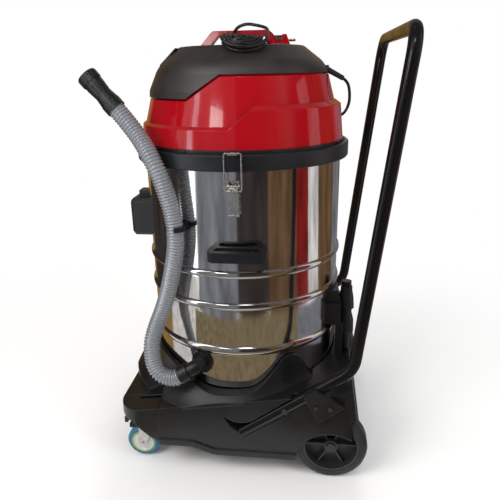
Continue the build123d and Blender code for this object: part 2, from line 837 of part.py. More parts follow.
def drain_cap():
    length = coupling_len
    cap = cyl_z(cap_r, length + swing_gap, length + cap_len)
    for i in range(cap_flutes):
        cap += Rot(0, 0, 360 / cap_flutes * i) * box(cap_r - 1.5, cap_r + 1.2, -2.6, 2.6, length + 3,
                                                     length + cap_len - 2)
    cap -= cyl_z(cap_r - 4 + swing_gap, length, length + 14 + swing_gap)
    return coupling_frame() * cap


def hose_clip():
    """Open clip on the tank that carries the hose."""
    x, y, z = hose_points[11]
    turn = math.degrees(math.atan2(y, x))
    reach = math.hypot(x, y)
    band = Pos(reach, 0, 0) * (cyl_z(hose_r + clip_gap + 2.5, z - 5, z + 5) - box(8, 40, -12, 12, z - 6,
                                                                                  z + 6))
    block = box(tank_r - 8, reach - hose_r + 2, -12, 12, z - 9, z + 9)
    shape = Rot(0, 0, turn) * (band + block)
    shape -= cyl_z(tank_r + seat_gap, 0, 900)
    return shape - cyl_z(hose_r + clip_gap, z - 50, z + 50, x, y)


# Latches


hinge_y = -tank_r - hinge_out
hinge_z = tank_top_z - hinge_drop
bail_pin_y = hinge_y - bail_pin_out
bail_pin_z = hinge_z - bail_pin_drop
bail_top_z = head_z - 2.0
lug_top_z = bail_top_z - bail_wire_r - 0.3


def latch_base():
    half = latch_w / 2
    plate = box(latch_x - half, latch_x + half, -tank_r - 3.5, -tank_r + 6, hinge_z - lever_len - 8,
                hinge_z + 8)
    ear_face = [(-tank_r - 2, hinge_z - 9), (hinge_y - 2.5, hinge_z - 4), (hinge_y - 4, hinge_z),
                (hinge_y - 2.5, hinge_z + 4), (-tank_r - 2, hinge_z + 8)]
    ear = extrude(Plane.YZ * make_face(Polyline(*ear_face, close=True)), amount=3, dir=(1, 0, 0))
    base = plate + Pos(latch_x - half, 0, 0) * ear + Pos(latch_x + half - 3, 0, 0) * ear
    base += cyl_x(hinge_pin_r, latch_x - half, latch_x + half, hinge_y, hinge_z)
    return base - cyl_z(tank_r + seat_gap, 0, 900)


def latch_bases():
    base = latch_base()
    return base + far(base)


def latch_lever():
    half = latch_w / 2 - 3 - swing_gap
    x0 = latch_x - half
    x1 = latch_x + half
    y = bail_pin_y
    lever = cyl_x(4, x0, x1, hinge_y, hinge_z) + cyl_x(3.2, x0, x1, y, bail_pin_z)
    web = [(hinge_y - 1, hinge_z + 3), (hinge_y + 3, hinge_z - 1), (y + 2, bail_pin_z - 2),
           (y - 2, bail_pin_z + 2)]
    lever += Pos(x0, 0, 0) * extrude(Plane.YZ * make_face(Polyline(*web, close=True)), amount=x1 - x0,
                                     dir=(1, 0, 0))
    low = bail_pin_z - lever_len
    lever += box(latch_x - 11, latch_x + 11, y - lever_t / 2, y + lever_t / 2, low, bail_pin_z - 4)
    lever += box(x0, x1, y - lever_t / 2, y + lever_t / 2, bail_pin_z - 5, bail_pin_z)
    lever += cyl_x(2, latch_x - 11, latch_x + 11, y - 1, low)
    for dx in (-6, 6):
        for dz in (14, 32):
            lever += cyl_y(2, y - 2, y, latch_x + dx, low + dz)
    lever -= cyl_x(hinge_pin_r + shaft_gap, x0 - 1, x1 + 1, hinge_y, hinge_z)
    return lever - cyl_x(bail_wire_r + shaft_gap, x0 - 1, x1 + 1, y, bail_pin_z)


def latch_bail():
    x0 = latch_x - bail_w / 2 + bail_wire_r
    x1 = latch_x + bail_w / 2 - bail_wire_r
    y = bail_pin_y
    inner = latch_w / 2 - 8
    points = [
        (latch_x - inner, y, bail_pin_z), (x0, y, bail_pin_z), (x0, y, bail_top_z), (x1, y, bail_top_z),
        (x1, y, bail_pin_z), (latch_x + inner, y, bail_pin_z),
    ]
    return bent_tube(points, [4.0] * 4, bail_wire_r)


# Motor head


def head_base():
    r = tank_r + base_out
    base = cyl_z(r, rim_z, head_z) + cyl_z(bag_r - bag_t - 5, rim_z - 6, rim_z)
    for i in range(8):
        base += Rot(0, 0, 45 * i + 22.5) * box(r - 3, r + 2, -3, 3, rim_z + 2, head_z)
    for x in (-motor_x, motor_x):
        base -= cyl_z(eye_r, rim_z - 10, head_z + 5, x)
    return base


def latch_hooks():
    """Tongues on the head ring that the two bails pull down on."""
    r = tank_r + base_out
    low = tank_top_z + collar_up + swing_gap
    hook = box(latch_x - 10, latch_x + 10, bail_pin_y - 3, -r + 8, low, lug_top_z)
    hook -= cyl_z(r, rim_z - 1, head_z + 1)
    return hook + far(hook)


def head_gasket():
    inner = tank_r - 6
    outer = tank_r + collar_seat - 0.5
    z = tank_top_z + collar_lip
    return cyl_z(outer, z, z + gasket_h) - cyl_z(inner, z - 1, z + gasket_h + 1)


def housing_form(inset):
    """Red housing as a solid, drawn in by the inset: low front tier, high rear tier and the cone above."""
    r = housing_r - inset
    front_top = head_z + front_tier_h
    rear_top = head_z + rear_tier_h
    slope = 0.0905
    foot = head_z - inset
    front = turned([
        (0, foot), (r, foot), (r - slope * front_tier_h, front_top),
        (r - slope * front_tier_h - 11, front_top + tier_chamfer - inset),
        (0, front_top + tier_chamfer - inset),
    ])
    rear = turned([
        (0, foot), (r, foot), (r - slope * rear_tier_h, rear_top),
        (r - slope * rear_tier_h - 11, rear_top + tier_chamfer - inset),
        (0, rear_top + tier_chamfer - inset),
    ])
    z = front_top + 2
    split = [(-80 + inset, z - 65), (2 + inset, z), (54 + inset, z + 43), (110, z + 90), (400, z + 90),
             (400, z - 65)]
    rear &= side_prism(split, -400, 400)
    cone = turned([
        (0, front_top - 10), (tank_r - cone_foot_in - inset, front_top - 10),
        (tank_r - cone_top_in - inset, head_z + cone_h), (0, head_z + cone_h),
    ])
    cone &= side_prism(housing_top(-inset, head_z), -400, 400)
    return front + rear + cone


def housing_top(lift, foot):
    """Side outline under the housing's stepped top edge, moved up by lift."""
    low = head_z + shoulder_h + lift
    high = head_z + cone_h + lift
    return [(-400, foot), (-400, low), (-84 - lift * 0.45, low), (-16 - lift * 0.45, high), (400, high),
            (400, foot)]


def cone_form(inset):
    """Cone of the housing carried on past its top edge, drawn in by the inset."""
    rise = 14.0
    foot_z = head_z + front_tier_h - 10
    slope = (cone_top_in - cone_foot_in) / (head_z + cone_h - foot_z)
    foot = tank_r - cone_foot_in - inset
    top = tank_r - cone_top_in - inset - slope * rise
    top_z = head_z + cone_h + rise
    return turned([(0, foot_z), (foot, foot_z), (top, top_z), (0, top_z)])


def housing_lip():
    """Inner edge of the housing that stands up behind the gap under the cover."""
    def under(lift):
        return side_prism(housing_top(lift, head_z), -400, 400)

    inner = cone_form(lip_in + lip_t)
    lip = (cone_form(lip_in) - inner) & (under(cover_gap + 2.5) - under(-10))
    lip += (cone_form(housing_wall - 0.2) - inner) & (under(-3) - under(-10))
    return lip - box(150, 210, -12, 12, gland_start[2] - 15, cover_z)


def red_housing():
    return housing_form(0) - housing_form(housing_wall) + housing_lip()


def cover_form(inset):
    """Dark top cover as a solid, drawn in by the inset."""
    r = tank_r - inset
    z = cover_z - inset
    low = head_z + shoulder_h
    lines = [
        Line((0, low - 10), (r - 15.5, low - 10)),
        Line((r - 15.5, low - 10), (r - 18.5, low + 17)),
        Line((r - 18.5, low + 17), (r - 33, z - 53)),
        ThreePointArc((r - 33, z - 53), (r - 39.3, z - 39), (r - 50, z - 27)),
        Line((r - 50, z - 27), (r - 80, z - 4)),
        ThreePointArc((r - 80, z - 4), (r - 84, z - 1.2), (r - 89, z)),
        Line((r - 89, z), (0, z)),
        Line((0, z), (0, low - 10)),
    ]
    dome = revolve(Plane.XZ * make_face(lines), Axis.Z)
    return dome - facet_cut(inset)


def facet_frame(lift):
    """Plane of the sloped switch facet, moved outward by lift. Local +X runs up the slope, +Y across."""
    lean = math.radians(facet_lean)
    mid = 30.0
    origin = Vector(-facet_x - mid * math.cos(lean), 0, cover_z - mid * math.sin(lean))
    normal = Vector(-math.sin(lean), 0, math.cos(lean))
    return Plane(origin=origin + normal * lift, x_dir=(math.cos(lean), 0, math.sin(lean)), z_dir=normal)


def facet_cut(inset):
    return facet_frame(-inset) * Pos(0, 0, 100) * Box(400, 500, 200)


def top_cover():
    top = [(x, z) for x, z in housing_top(cover_gap, 0)[1:5]]
    above = side_prism(top + [(400, 1200), (-400, 1200)], -400, 400)
    shell = (cover_form(0) & above) - cover_form(cover_wall)
    posts = Part()
    for x, y, foot in ((60, 80, cone_h), (60, -80, cone_h), (-105, 70, shoulder_h), (-105, -70, shoulder_h)):
        posts += cyl_z(7, head_z + foot, cover_z + 10, x, y)
    posts += cyl_x(8.5, 170, gland_start[0] + 4, 0, gland_start[2])
    shell += posts & (cover_form(0) + cyl_x(8.5, 170, gland_start[0] + 4, 0, gland_start[2]))
    for i in (-1, 0, 1):
        shell -= facet_frame(0) * Pos(0, i * rocker_pitch, 0) * Box(rocker_len + 8, rocker_w + 10, 40)
    shell -= box(-150, -136, -40, -20, cover_z - 24, cover_z - 8) & facet_cut(1.5)
    return shell - along(gland_inner, gland_end, 6 + seat_gap, 6 + seat_gap)


def switch_panel():
    """Plate on the sloped facet with three rocker openings and their bearing cheeks."""
    panel = Pos(0, 0, panel_t / 2) * Box(panel_len, panel_w, panel_t)
    panel = chamfer(panel.faces().sort_by(Axis.Z)[-1].edges(), 1.2)
    for i in (-1, 0, 1):
        y = i * rocker_pitch
        for side in (-1, 1):
            cheek_y = y + side * (rocker_w / 2 + swing_gap + 1.5)
            panel += Pos(0, cheek_y, -4.5) * Box(rocker_len + 4, 3, 9 + panel_t)
        panel -= Pos(0, y, 0) * Box(rocker_len + 4, rocker_w + 2 * swing_gap, 40)
        panel -= cyl_y(rocker_pin_r + shaft_gap, y - rocker_w / 2 - 3, y + rocker_w / 2 + 3, 0, -4)
    return facet_frame(0) * panel


def rocker(i):
    half = rocker_len / 2
    shape = side_prism([
        (-half, -6), (-half, 8), (-half + 2, 9.5), (0, 7), (half - 2, 9.5), (half, 8), (half, -6), (0, -8),
    ], -rocker_w / 2, rocker_w / 2)
    pin = rocker_w / 2 + 2.5
    shape += cyl_y(rocker_pin_r, -pin, pin, 0, 0)
    place = facet_frame(0) * Pos(0, i * rocker_pitch, -4)
    return place * Rot(0, rocker_tip, 0) * shape


gland_start = (185.5, 0.0, 860.0)
gland_end = (221.0, 0.0, 840.5)
gland_axis = unit(gland_start, gland_end)
gland_inner = step(gland_start, gland_axis, -8.0)


def cord_gland():
    """Tapered strain relief of the power cord."""
    neck = along(gland_inner, gland_start, 6, 6) + along(gland_start, gland_end, 6, 5.2)
    return neck - along(step(gland_start, gland_axis, 4), step(gland_end, gland_axis, 5),
                        cord_r + seat_gap, cord_r + seat_gap)


def carry_handle():
    """Handle on the cover: foot plate, trapezoid loop with a comb under the bar, and a cable hook."""
    z = cover_z
    half = handle_w / 2
    plate = box(-106, 106, -half - 3, half + 3, z, z + handle_plate)
    top = z + handle_rise
    loop = side_prism([(-88, z + 2), (-64, top - 4), (-58, top), (60, top), (66, top - 4), (88, z + 2)],
                      -half, half)
    loop -= side_prism([
        (-66, z + handle_plate - 2), (-49, top - handle_bar), (51, top - handle_bar),
        (66, z + handle_plate - 2),
    ], -half - 1, half + 1)
    hook = side_prism([(84, z + 2), (90, z + 23), (98, z + 23), (106, z + 2)], -8, 8)
    comb = Part()
    count = int(84 / tooth_pitch)
    for i in range(count):
        x = -40 + i * tooth_pitch
        comb += box(x, x + 2, -half + 2, half - 2, top - handle_bar - 3, top - handle_bar + 1)
    return plate + loop + hook + comb


def motor_case():
    """Motor with its fan chamber below, centred on its own axis, standing on the head base."""
    z0 = head_z
    top = z0 + motor_h
    case = cyl_z(motor_r, z0, top) - cyl_z(motor_r - motor_wall, z0 + 4, z0 + fan_h + 18)
    case -= cyl_z(eye_r, z0 - 1, z0 + 5)
    case -= cyl_z(rotor_shaft_r + shaft_gap, z0, top - 6)
    for i in range(6):
        slot = box(motor_r - 12, motor_r + 5, -9, 9, z0 + 10, z0 + fan_h + 12)
        case -= Rot(0, 0, 60 * i) * slot
    return case - (cyl_z(motor_r + 1, top - 30, top + 1) - cyl_z(motor_r - 14, top - 31, top + 2))


def motor_cases():
    case = motor_case()
    return Pos(-motor_x, 0, 0) * case + Pos(motor_x, 0, 0) * case


def fan_rotor(x):
    z0 = head_z + 10
    rotor = cyl_z(fan_r, z0, z0 + 2) - cyl_z(eye_r - 2, z0 - 1, z0 + 3)
    rotor += cyl_z(fan_r, z0 + fan_h - 2, z0 + fan_h)
    for i in range(9):
        rotor += Rot(0, 0, 40 * i) * Pos(eye_r + 8, 0, 0) * Rot(0, 0, 35) * box(-14, 14, -1, 1, z0 + 1,
                                                                                z0 + fan_h - 1)
    rotor += cyl_z(rotor_shaft_r + 6, z0 + 4, z0 + fan_h)
    rotor += cyl_z(rotor_shaft_r, z0 + 4, head_z + motor_h - 8)
    return Pos(x, 0, 0) * rotor


def dust_filter():
    """Cloth bag under the head with a stiff rim against the head base."""
    rim = cyl_z(bag_r + 8, rim_z - 12, rim_z) - cyl_z(bag_r - bag_t - 5 + seat_gap, rim_z - 13, rim_z + 1)
    bag = cyl_z(bag_r, rim_z - bag_len, rim_z - 6)
    bag -= cyl_z(bag_r - bag_t, rim_z - bag_len + bag_t, rim_z)
    return rim + bag


def float_cage():
    """Plenum under both motor eyes with the float valve seat and the cage of the ball."""
    z1 = rim_z - 6
    z0 = z1 - plenum_h
    cage = box(-plenum_len / 2, plenum_len / 2, -plenum_w / 2, plenum_w / 2, z0, z1)
    cage -= box(-plenum_len / 2 + 3, plenum_len / 2 - 3, -plenum_w / 2 + 3, plenum_w / 2 - 3, z0 + 3, z1 + 1)
    cage -= cyl_z(valve_r, z0 - 1, z0 + 4)
    low = z0 - cage_drop
    cage += cyl_z(float_r + 10, low, low + 4) - cyl_z(float_r - 4, low - 1, low + 5)
    for i in range(4):
        cage += Rot(0, 0, 45 + 90 * i) * cyl_z(3, low, z0 + 1, float_r + 5)
    return cage


def float_rest_z():
    low = rim_z - 6 - plenum_h - cage_drop
    return low + 4 + math.sqrt(float_r ** 2 - (float_r - 4) ** 2) + 0.3


def float_ball():
    return Pos(0, 0, float_rest_z()) * Sphere(float_r)


# Power cord


def coil_marks():
    """Radius and height of the coil after each half turn: layers that spiral in and out."""
    inward = [coil_r, coil_r - coil_end_step]
    for _ in range(layer_halves - 2):
        inward.append(inward[-1] - coil_step)
    inward.append(inward[-1] - coil_end_step)
    marks = []
    for layer in range(coil_layers):
        row = inward if layer % 2 == 0 else inward[::-1]
        marks += [(d, layer * layer_pitch) for d in row]
    return marks


def draped(x, y, lift):
    """Point at a height over the cover: flat in the middle, then bent down the cover's shoulder."""
    r = math.hypot(x, y)
    drape_r = tank_r - drape_in
    run = max(0.0, r - drape_r)
    turn = min(run / drape_bend, drape_slope)
    rest = run - turn * drape_bend
    out = min(r, drape_r) + (drape_bend + lift) * math.sin(turn) + rest * math.cos(turn)
    z = cover_z - drape_bend * (1 - math.cos(turn)) + lift * math.cos(turn) - rest * math.sin(turn)
    return Vector(x / r * out, y / r * out, z)


def coil_point(halves):
    """Point on the centre line of the coil after a number of half turns."""
    marks = coil_marks()
    i = min(int(halves), len(marks) - 2)
    share = halves - i
    d = marks[i][0] + (marks[i + 1][0] - marks[i][0]) * share
    rise = marks[i][1] + (marks[i + 1][1] - marks[i][1]) * share * share * (3 - 2 * share)
    turn = math.pi * (1 + halves)
    return draped(coil_x + d * math.cos(turn), coil_y + d * math.sin(turn), cord_r + coil_rest + rise)


def coil_stations():
    """Points and directions along the coil, the first one straight towards the near side."""
    count = (len(coil_marks()) - 1) * half_turn_arcs
    stations = []
    for i in range(count + 1):
        halves = i / half_turn_arcs
        before = coil_point(max(0.0, halves - 0.02))
        after = coil_point(min(count / half_turn_arcs, halves + 0.02))
        stations.append((coil_point(halves), (after - before).normalized()))
    stations[0] = (stations[0][0], Vector(0, -1, 0))
    return stations


def biarc(a, way_a, b, way_b):
    """Two arcs from a to b that leave along way_a and arrive along way_b."""
    chord = b - a
    ways = way_a + way_b
    turn = 2 * (1 - way_a.dot(way_b))
    lean = chord.dot(ways)
    if turn > 1e-9:
        reach = (math.sqrt(lean * lean + turn * chord.dot(chord)) - lean) / turn
    else:
        reach = chord.dot(chord) / (2 * lean)
    corner_a = a + way_a * reach
    corner_b = b - way_b * reach
    joint = (corner_a + corner_b) * 0.5
    edges = []
    for start, corner, end in ((a, corner_a, joint), (joint, corner_b, b)):
        middle = (start + end) * 0.5
        rise = (corner - middle).length
        if rise < 1e-6:
            edges.append(Line(start, end))
            continue
        cosine = (end - start).length / 2 / reach
        height = reach * cosine * (1 - cosine) / math.sqrt(1 - cosine * cosine)
        edges.append(ThreePointArc(start, middle + (corner - middle) * (height / rise), end))
    return edges


def cord_coil():
    """One unbroken coil of arcs, draped over the near shoulder of the cover."""
    stations = coil_stations()
    edges = []
    for (a, way_a), (b, way_b) in zip(stations, stations[1:]):
        edges += biarc(a, way_a, b, way_b)
    path = Wire([e.edge() for e in edges])
    print("cord_coil length %.1f least self gap %.2f" % (path.length, coil_gap(path)))
    section = Plane(origin=path @ 0, z_dir=path % 0) * Circle(cord_r)
    return sweep(section, path=path)


def coil_gap(path):
    """Least gap of the coil to itself, measured on points along its centre line."""
    count = 600
    apart = path.length / count
    points = [path @ (i / count) for i in range(count + 1)]
    skip = int(30 / apart) + 1
    least = 1e9
    for i in range(count + 1):
        for j in range(i + skip, count + 1):
            least = min(least, (points[i] - points[j]).length)
    return least - 2 * cord_r


coil_start = place_of(coil_point(0))
coil_end = place_of(coil_stations()[-1][0])
lead_points = (
    step(gland_start, gland_axis, 6.0), step(gland_end, gland_axis, 10.0), (236.0, 4.0, 814.0),
    (237.0, 18.0, 786.0), (227.0, 54.0, 760.0), (204.0, 108.0, 748.0), (167.0, 159.0, 766.0),
    (136.0, 176.0, 806.0), (112.0, 176.0, 852.0), (90.0, 153.0, 895.0), (64.0, 116.0, 920.0),
    (36.0, 80.0, 915.0), (16.0, 46.0, 913.4), (8.0, 14.0, 917.0), (-6.0, -18.0, 916.5),
    (-15.0, -50.0, 914.0), step(coil_start, Vector(0, 1, 0), 37.0), coil_start,
)
plug_at = (54.0, 50.0, 922.0)
tail_points = (
    coil_end, step(coil_end, coil_stations()[-1][1], 22.0), (66.0, -80.0, 936.0), (58.0, -55.0, 943.0),
    (40.0, -42.0, 948.0), (18.0, -41.0, 952.0), (-4.0, -37.0, 945.0), (-15.0, -25.0, 927.0),
    (-16.0, -3.0, 917.4), (-8.0, 26.0, 919.5), (10.0, 45.0, 922.0), (32.0, 50.0, 922.0), plug_at,
)


def cord_piece(name, points):
    radii = bend_radii(points)
    shape = bent_tube(points, radii, cord_r)
    length = FilletPolyline(*points, radius=radii).length
    share = shape.volume / (math.pi * cord_r ** 2 * length)
    print("%s length %.1f bends %s volume share %.4f" % (name, length, [round(r, 1) for r in radii], share))
    return shape


def plug_body():
    x, y, z = plug_at
    body = cyl_x(plug_r, x + 12, x + plug_len, y, z) + along((x, y, z), (x + 12, y, z), cord_r + 2,
                                                             plug_r - 1)
    body += cyl_x(plug_r + 1.5, x + plug_len - 8, x + plug_len - 4, y, z)
    for dy in (-5.5, 5.5):
        body -= cyl_x(plug_pin_r + seat_gap, x + plug_len - 12, x + plug_len + 1, y + dy, z)
    return body


def plug_pins():
    x, y, z = plug_at
    pins = Part()
    for dy in (-5.5, 5.5):
        pins += cyl_x(plug_pin_r, x + plug_len - 12, x + plug_len + plug_pin_len, y + dy, z)
    return pins


def build_all():
    bar = handle_bar_shape(tube_r)
    holes = screw_holes()
    handle_tube = bar - handle_bar_shape(tube_r - tube_wall) - holes
    base = trolley_base(handle_bar_shape(tube_r + seat_gap), [holes])
    clamp = handle_clamp() - handle_bar_shape(tube_r + seat_gap) - base - holes
    nodes = {
        "trolley_base": base,
        "caster_cover_near": caster_cover(),
        "push_handle": handle_tube,
        "handle_clamp_near": clamp,
        "rear_axle": rear_axle(),
        "axle_caps": axle_caps(),
        "rear_post": rear_post(),
        "caster_plates": caster_plates(),
        "rear_tyre_near": rear_tyre(),
        "rear_hub_near": rear_hub(),
        "caster_fork_near": caster_fork(),
        "caster_tyre_near": caster_tyre(),
        "caster_hub_near": caster_hub(),
        "tank_shell": tank_shell(),
        "tank_collar": tank_collar(),
        "tank_handle_near": tank_handle(),
        "screws": trolley_screws() + tank_screws(),
        "latch_bases": latch_bases(),
        "latch_lever_near": latch_lever(),
        "latch_bail_near": latch_bail(),
        "suction_inlet": suction_inlet(),
        "inlet_deflector": inlet_deflector(),
        "drain_elbow": drain_elbow(),
        "drain_hose": drain_hose(),
        "hose_coupling": hose_coupling(),
        "drain_cap": drain_cap(),
        "hose_clip": hose_clip(),
        "rear_bracket": rear_bracket(),
        "head_base": head_base(),
        "latch_hooks": latch_hooks(),
        "head_gasket": head_gasket(),
        "red_housing": red_housing(),
        "top_cover": top_cover(),
        "carry_handle": carry_handle(),
        "switch_panel": switch_panel(),
        "rocker_1": rocker(-1),
        "rocker_2": rocker(0),
        "rocker_3": rocker(1),
        "cord_gland": cord_gland(),
        "motor_cases": motor_cases(),
        "fan_rotor_front": fan_rotor(-motor_x),
        "fan_rotor_rear": fan_rotor(motor_x),
        "dust_filter": dust_filter(),
        "float_cage": float_cage(),
        "float_ball": float_ball(),
        "cord_lead": cord_piece("cord_lead", lead_points),
        "cord_coil": cord_coil(),
        "cord_tail": cord_piece("cord_tail", tail_points),
        "plug_body": plug_body(),
        "plug_pins": plug_pins(),
    }
    for name in [n for n in nodes if n.endswith("_near")]:
        nodes[name.replace("_near", "_far")] = far(nodes[name])
    return nodes


for name, shape in build_all().items():
    export_step(shape, "parts/%s.step" % name)
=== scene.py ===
import math

import bmesh
import bpy
from mathutils import Matrix, Vector


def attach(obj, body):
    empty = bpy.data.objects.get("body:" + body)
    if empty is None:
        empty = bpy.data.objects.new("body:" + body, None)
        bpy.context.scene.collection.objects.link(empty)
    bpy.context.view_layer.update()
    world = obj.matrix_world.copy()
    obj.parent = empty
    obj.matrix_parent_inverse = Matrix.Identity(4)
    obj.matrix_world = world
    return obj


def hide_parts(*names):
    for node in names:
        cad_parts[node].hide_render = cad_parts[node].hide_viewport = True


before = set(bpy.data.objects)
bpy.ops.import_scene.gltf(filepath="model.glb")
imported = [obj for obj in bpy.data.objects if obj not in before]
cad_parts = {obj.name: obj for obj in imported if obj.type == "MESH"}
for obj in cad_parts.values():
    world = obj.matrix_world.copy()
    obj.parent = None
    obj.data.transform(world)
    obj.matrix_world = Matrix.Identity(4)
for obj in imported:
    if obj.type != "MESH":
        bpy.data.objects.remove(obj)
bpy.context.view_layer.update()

# Studio: a pale floor that fades into a pale room, one broad key lamp and two fills. A tent of tinted
# boards with three bright cards, seen only in reflections, gives the polished tank a room to mirror.
# The camera stands in front of the near side, a little above the collar, as for the photograph.
scene = bpy.context.scene
scene.view_settings.view_transform = "Standard"
aim_turn, aim_down, aim_roll = math.radians(7.336), math.radians(19.05), math.radians(1.075)
ahead = Vector((-math.sin(aim_turn), math.cos(aim_turn), 0))
aside = Vector((math.cos(aim_turn), math.sin(aim_turn), 0))
upward = Vector((0, 0, 1))
look = ahead * math.cos(aim_down) - upward * math.sin(aim_down)
over = upward * math.cos(aim_down) + ahead * math.sin(aim_down)
right = aside * math.cos(aim_roll) - over * math.sin(aim_roll)
top = aside * math.sin(aim_roll) + over * math.cos(aim_roll)
camera_place, sensor_mm, focal_pixels, picture_pixels = (0.16733, -1.2135, 0.86619), 36.0, 528.5, 500.0
camera = bpy.data.objects.new("camera", bpy.data.cameras.new("camera"))
camera.data.sensor_width = sensor_mm
camera.data.lens = sensor_mm * focal_pixels / picture_pixels
turn = Matrix((right, top, -look)).transposed().to_4x4()
camera.matrix_world = Matrix.Translation(camera_place) @ turn
scene.collection.objects.link(camera)
scene.camera = camera

room = bpy.data.worlds.new("room")
room.use_nodes = True
room_tree = room.node_tree
room_tree.nodes["Background"].inputs["Color"].default_value = (1.0, 0.99, 0.975, 1)
room_tree.nodes["Background"].inputs["Strength"].default_value = 0.62
backdrop = room_tree.nodes.new("ShaderNodeBackground")
backdrop.inputs["Color"].default_value = (1, 1, 1, 1)
seen = room_tree.nodes.new("ShaderNodeLightPath")
seen_clear = room_tree.nodes.new("ShaderNodeMath")
seen_clear.operation = "MAXIMUM"
seen_any = room_tree.nodes.new("ShaderNodeMath")
seen_any.operation = "MAXIMUM"
room_mix = room_tree.nodes.new("ShaderNodeMixShader")
room_tree.links.new(seen.outputs["Is Camera Ray"], seen_clear.inputs[0])
room_tree.links.new(seen.outputs["Is Transmission Ray"], seen_clear.inputs[1])
room_tree.links.new(seen_clear.outputs["Value"], seen_any.inputs[0])
room_tree.links.new(seen.outputs["Is Glossy Ray"], seen_any.inputs[1])
room_tree.links.new(seen_any.outputs["Value"], room_mix.inputs["Fac"])
room_tree.links.new(room_tree.nodes["Background"].outputs["Background"], room_mix.inputs[1])
room_tree.links.new(backdrop.outputs["Background"], room_mix.inputs[2])
room_tree.links.new(room_mix.outputs["Shader"], room_tree.nodes["World Output"].inputs["Surface"])
scene.world = room


def soft_lamp(name, place, target, size, watts, colour):
    lamp = bpy.data.objects.new(name, bpy.data.lights.new(name, "AREA"))
    lamp.data.shape = "RECTANGLE"
    lamp.data.size, lamp.data.size_y = size
    lamp.data.energy = watts
    lamp.data.color = colour
    lamp.location = place
    aim = Vector(target) - Vector(place)
    lamp.rotation_euler = aim.to_track_quat("-Z", "Y").to_euler()
    scene.collection.objects.link(lamp)


soft_lamp("key_lamp", (-1.5, -1.7, 2.3), (0, 0, 0.6), (1.5, 1.1), 46, (1.0, 0.98, 0.95))
soft_lamp("fill_lamp", (1.9, -1.1, 1.5), (0, 0, 0.5), (0.9, 1.6), 16, (0.97, 0.98, 1.0))
soft_lamp("rear_lamp", (0.3, 2.2, 2.0), (0, 0, 0.6), (1.6, 1.0), 24, (1.0, 1.0, 1.0))


def stage_sheet(name, corners, mat):
    mesh = bpy.data.meshes.new(name)
    mesh.from_pydata(corners, [], [tuple(range(len(corners)))])
    mesh.materials.append(mat)
    sheet = bpy.data.objects.new(name, mesh)
    scene.collection.objects.link(sheet)
    return sheet


floor_mat = bpy.data.materials.new("pale_floor")
floor_mat.use_nodes = True
floor_tree = floor_mat.node_tree
floor_shader = floor_tree.nodes["Principled BSDF"]
floor_shader.inputs["Base Color"].default_value = (0.93, 0.93, 0.93, 1)
floor_shader.inputs["Roughness"].default_value = 0.9
floor_shader.inputs["Specular IOR Level"].default_value = 0.1
far_glow = floor_tree.nodes.new("ShaderNodeEmission")
far_glow.inputs["Color"].default_value = (1, 1, 1, 1)
floor_place = floor_tree.nodes.new("ShaderNodeTexCoord")
floor_reach = floor_tree.nodes.new("ShaderNodeVectorMath")
floor_reach.operation = "LENGTH"
floor_fade = floor_tree.nodes.new("ShaderNodeMapRange")
floor_fade.interpolation_type = "SMOOTHSTEP"
floor_fade.inputs["From Min"].default_value = 0.4
floor_fade.inputs["From Max"].default_value = 1.5
floor_mix = floor_tree.nodes.new("ShaderNodeMixShader")
floor_tree.links.new(floor_place.outputs["Object"], floor_reach.inputs[0])
floor_tree.links.new(floor_reach.outputs["Value"], floor_fade.inputs["Value"])
floor_tree.links.new(floor_fade.outputs["Result"], floor_mix.inputs["Fac"])
floor_tree.links.new(floor_shader.outputs["BSDF"], floor_mix.inputs[1])
floor_tree.links.new(far_glow.outputs["Emission"], floor_mix.inputs[2])
floor_tree.links.new(floor_mix.outputs["Shader"], floor_tree.nodes["Material Output"].inputs["Surface"])
floor_half = 40
stage_sheet("floor", [
    (-floor_half, -floor_half, 0), (floor_half, -floor_half, 0), (floor_half, floor_half, 0),
    (-floor_half, floor_half, 0),
], floor_mat)


def cloud(mat, scale, detail=3.0, stretch=(1, 1, 1), low=0.35, high=0.65):
    """Noise on the piece's own coordinates, spread from 0 to 1 between low and high."""
    tree = mat.node_tree
    place = tree.nodes.new("ShaderNodeTexCoord")
    spread = tree.nodes.new("ShaderNodeMapping")
    spread.inputs["Scale"].default_value = stretch
    noise = tree.nodes.new("ShaderNodeTexNoise")
    noise.inputs["Scale"].default_value = scale
    noise.inputs["Detail"].default_value = detail
    limits = tree.nodes.new("ShaderNodeMapRange")
    limits.inputs["From Min"].default_value = low
    limits.inputs["From Max"].default_value = high
    tree.links.new(place.outputs["Object"], spread.inputs["Vector"])
    tree.links.new(spread.outputs["Vector"], noise.inputs["Vector"])
    tree.links.new(noise.outputs["Fac"], limits.inputs["Value"])
    return limits.outputs["Result"]


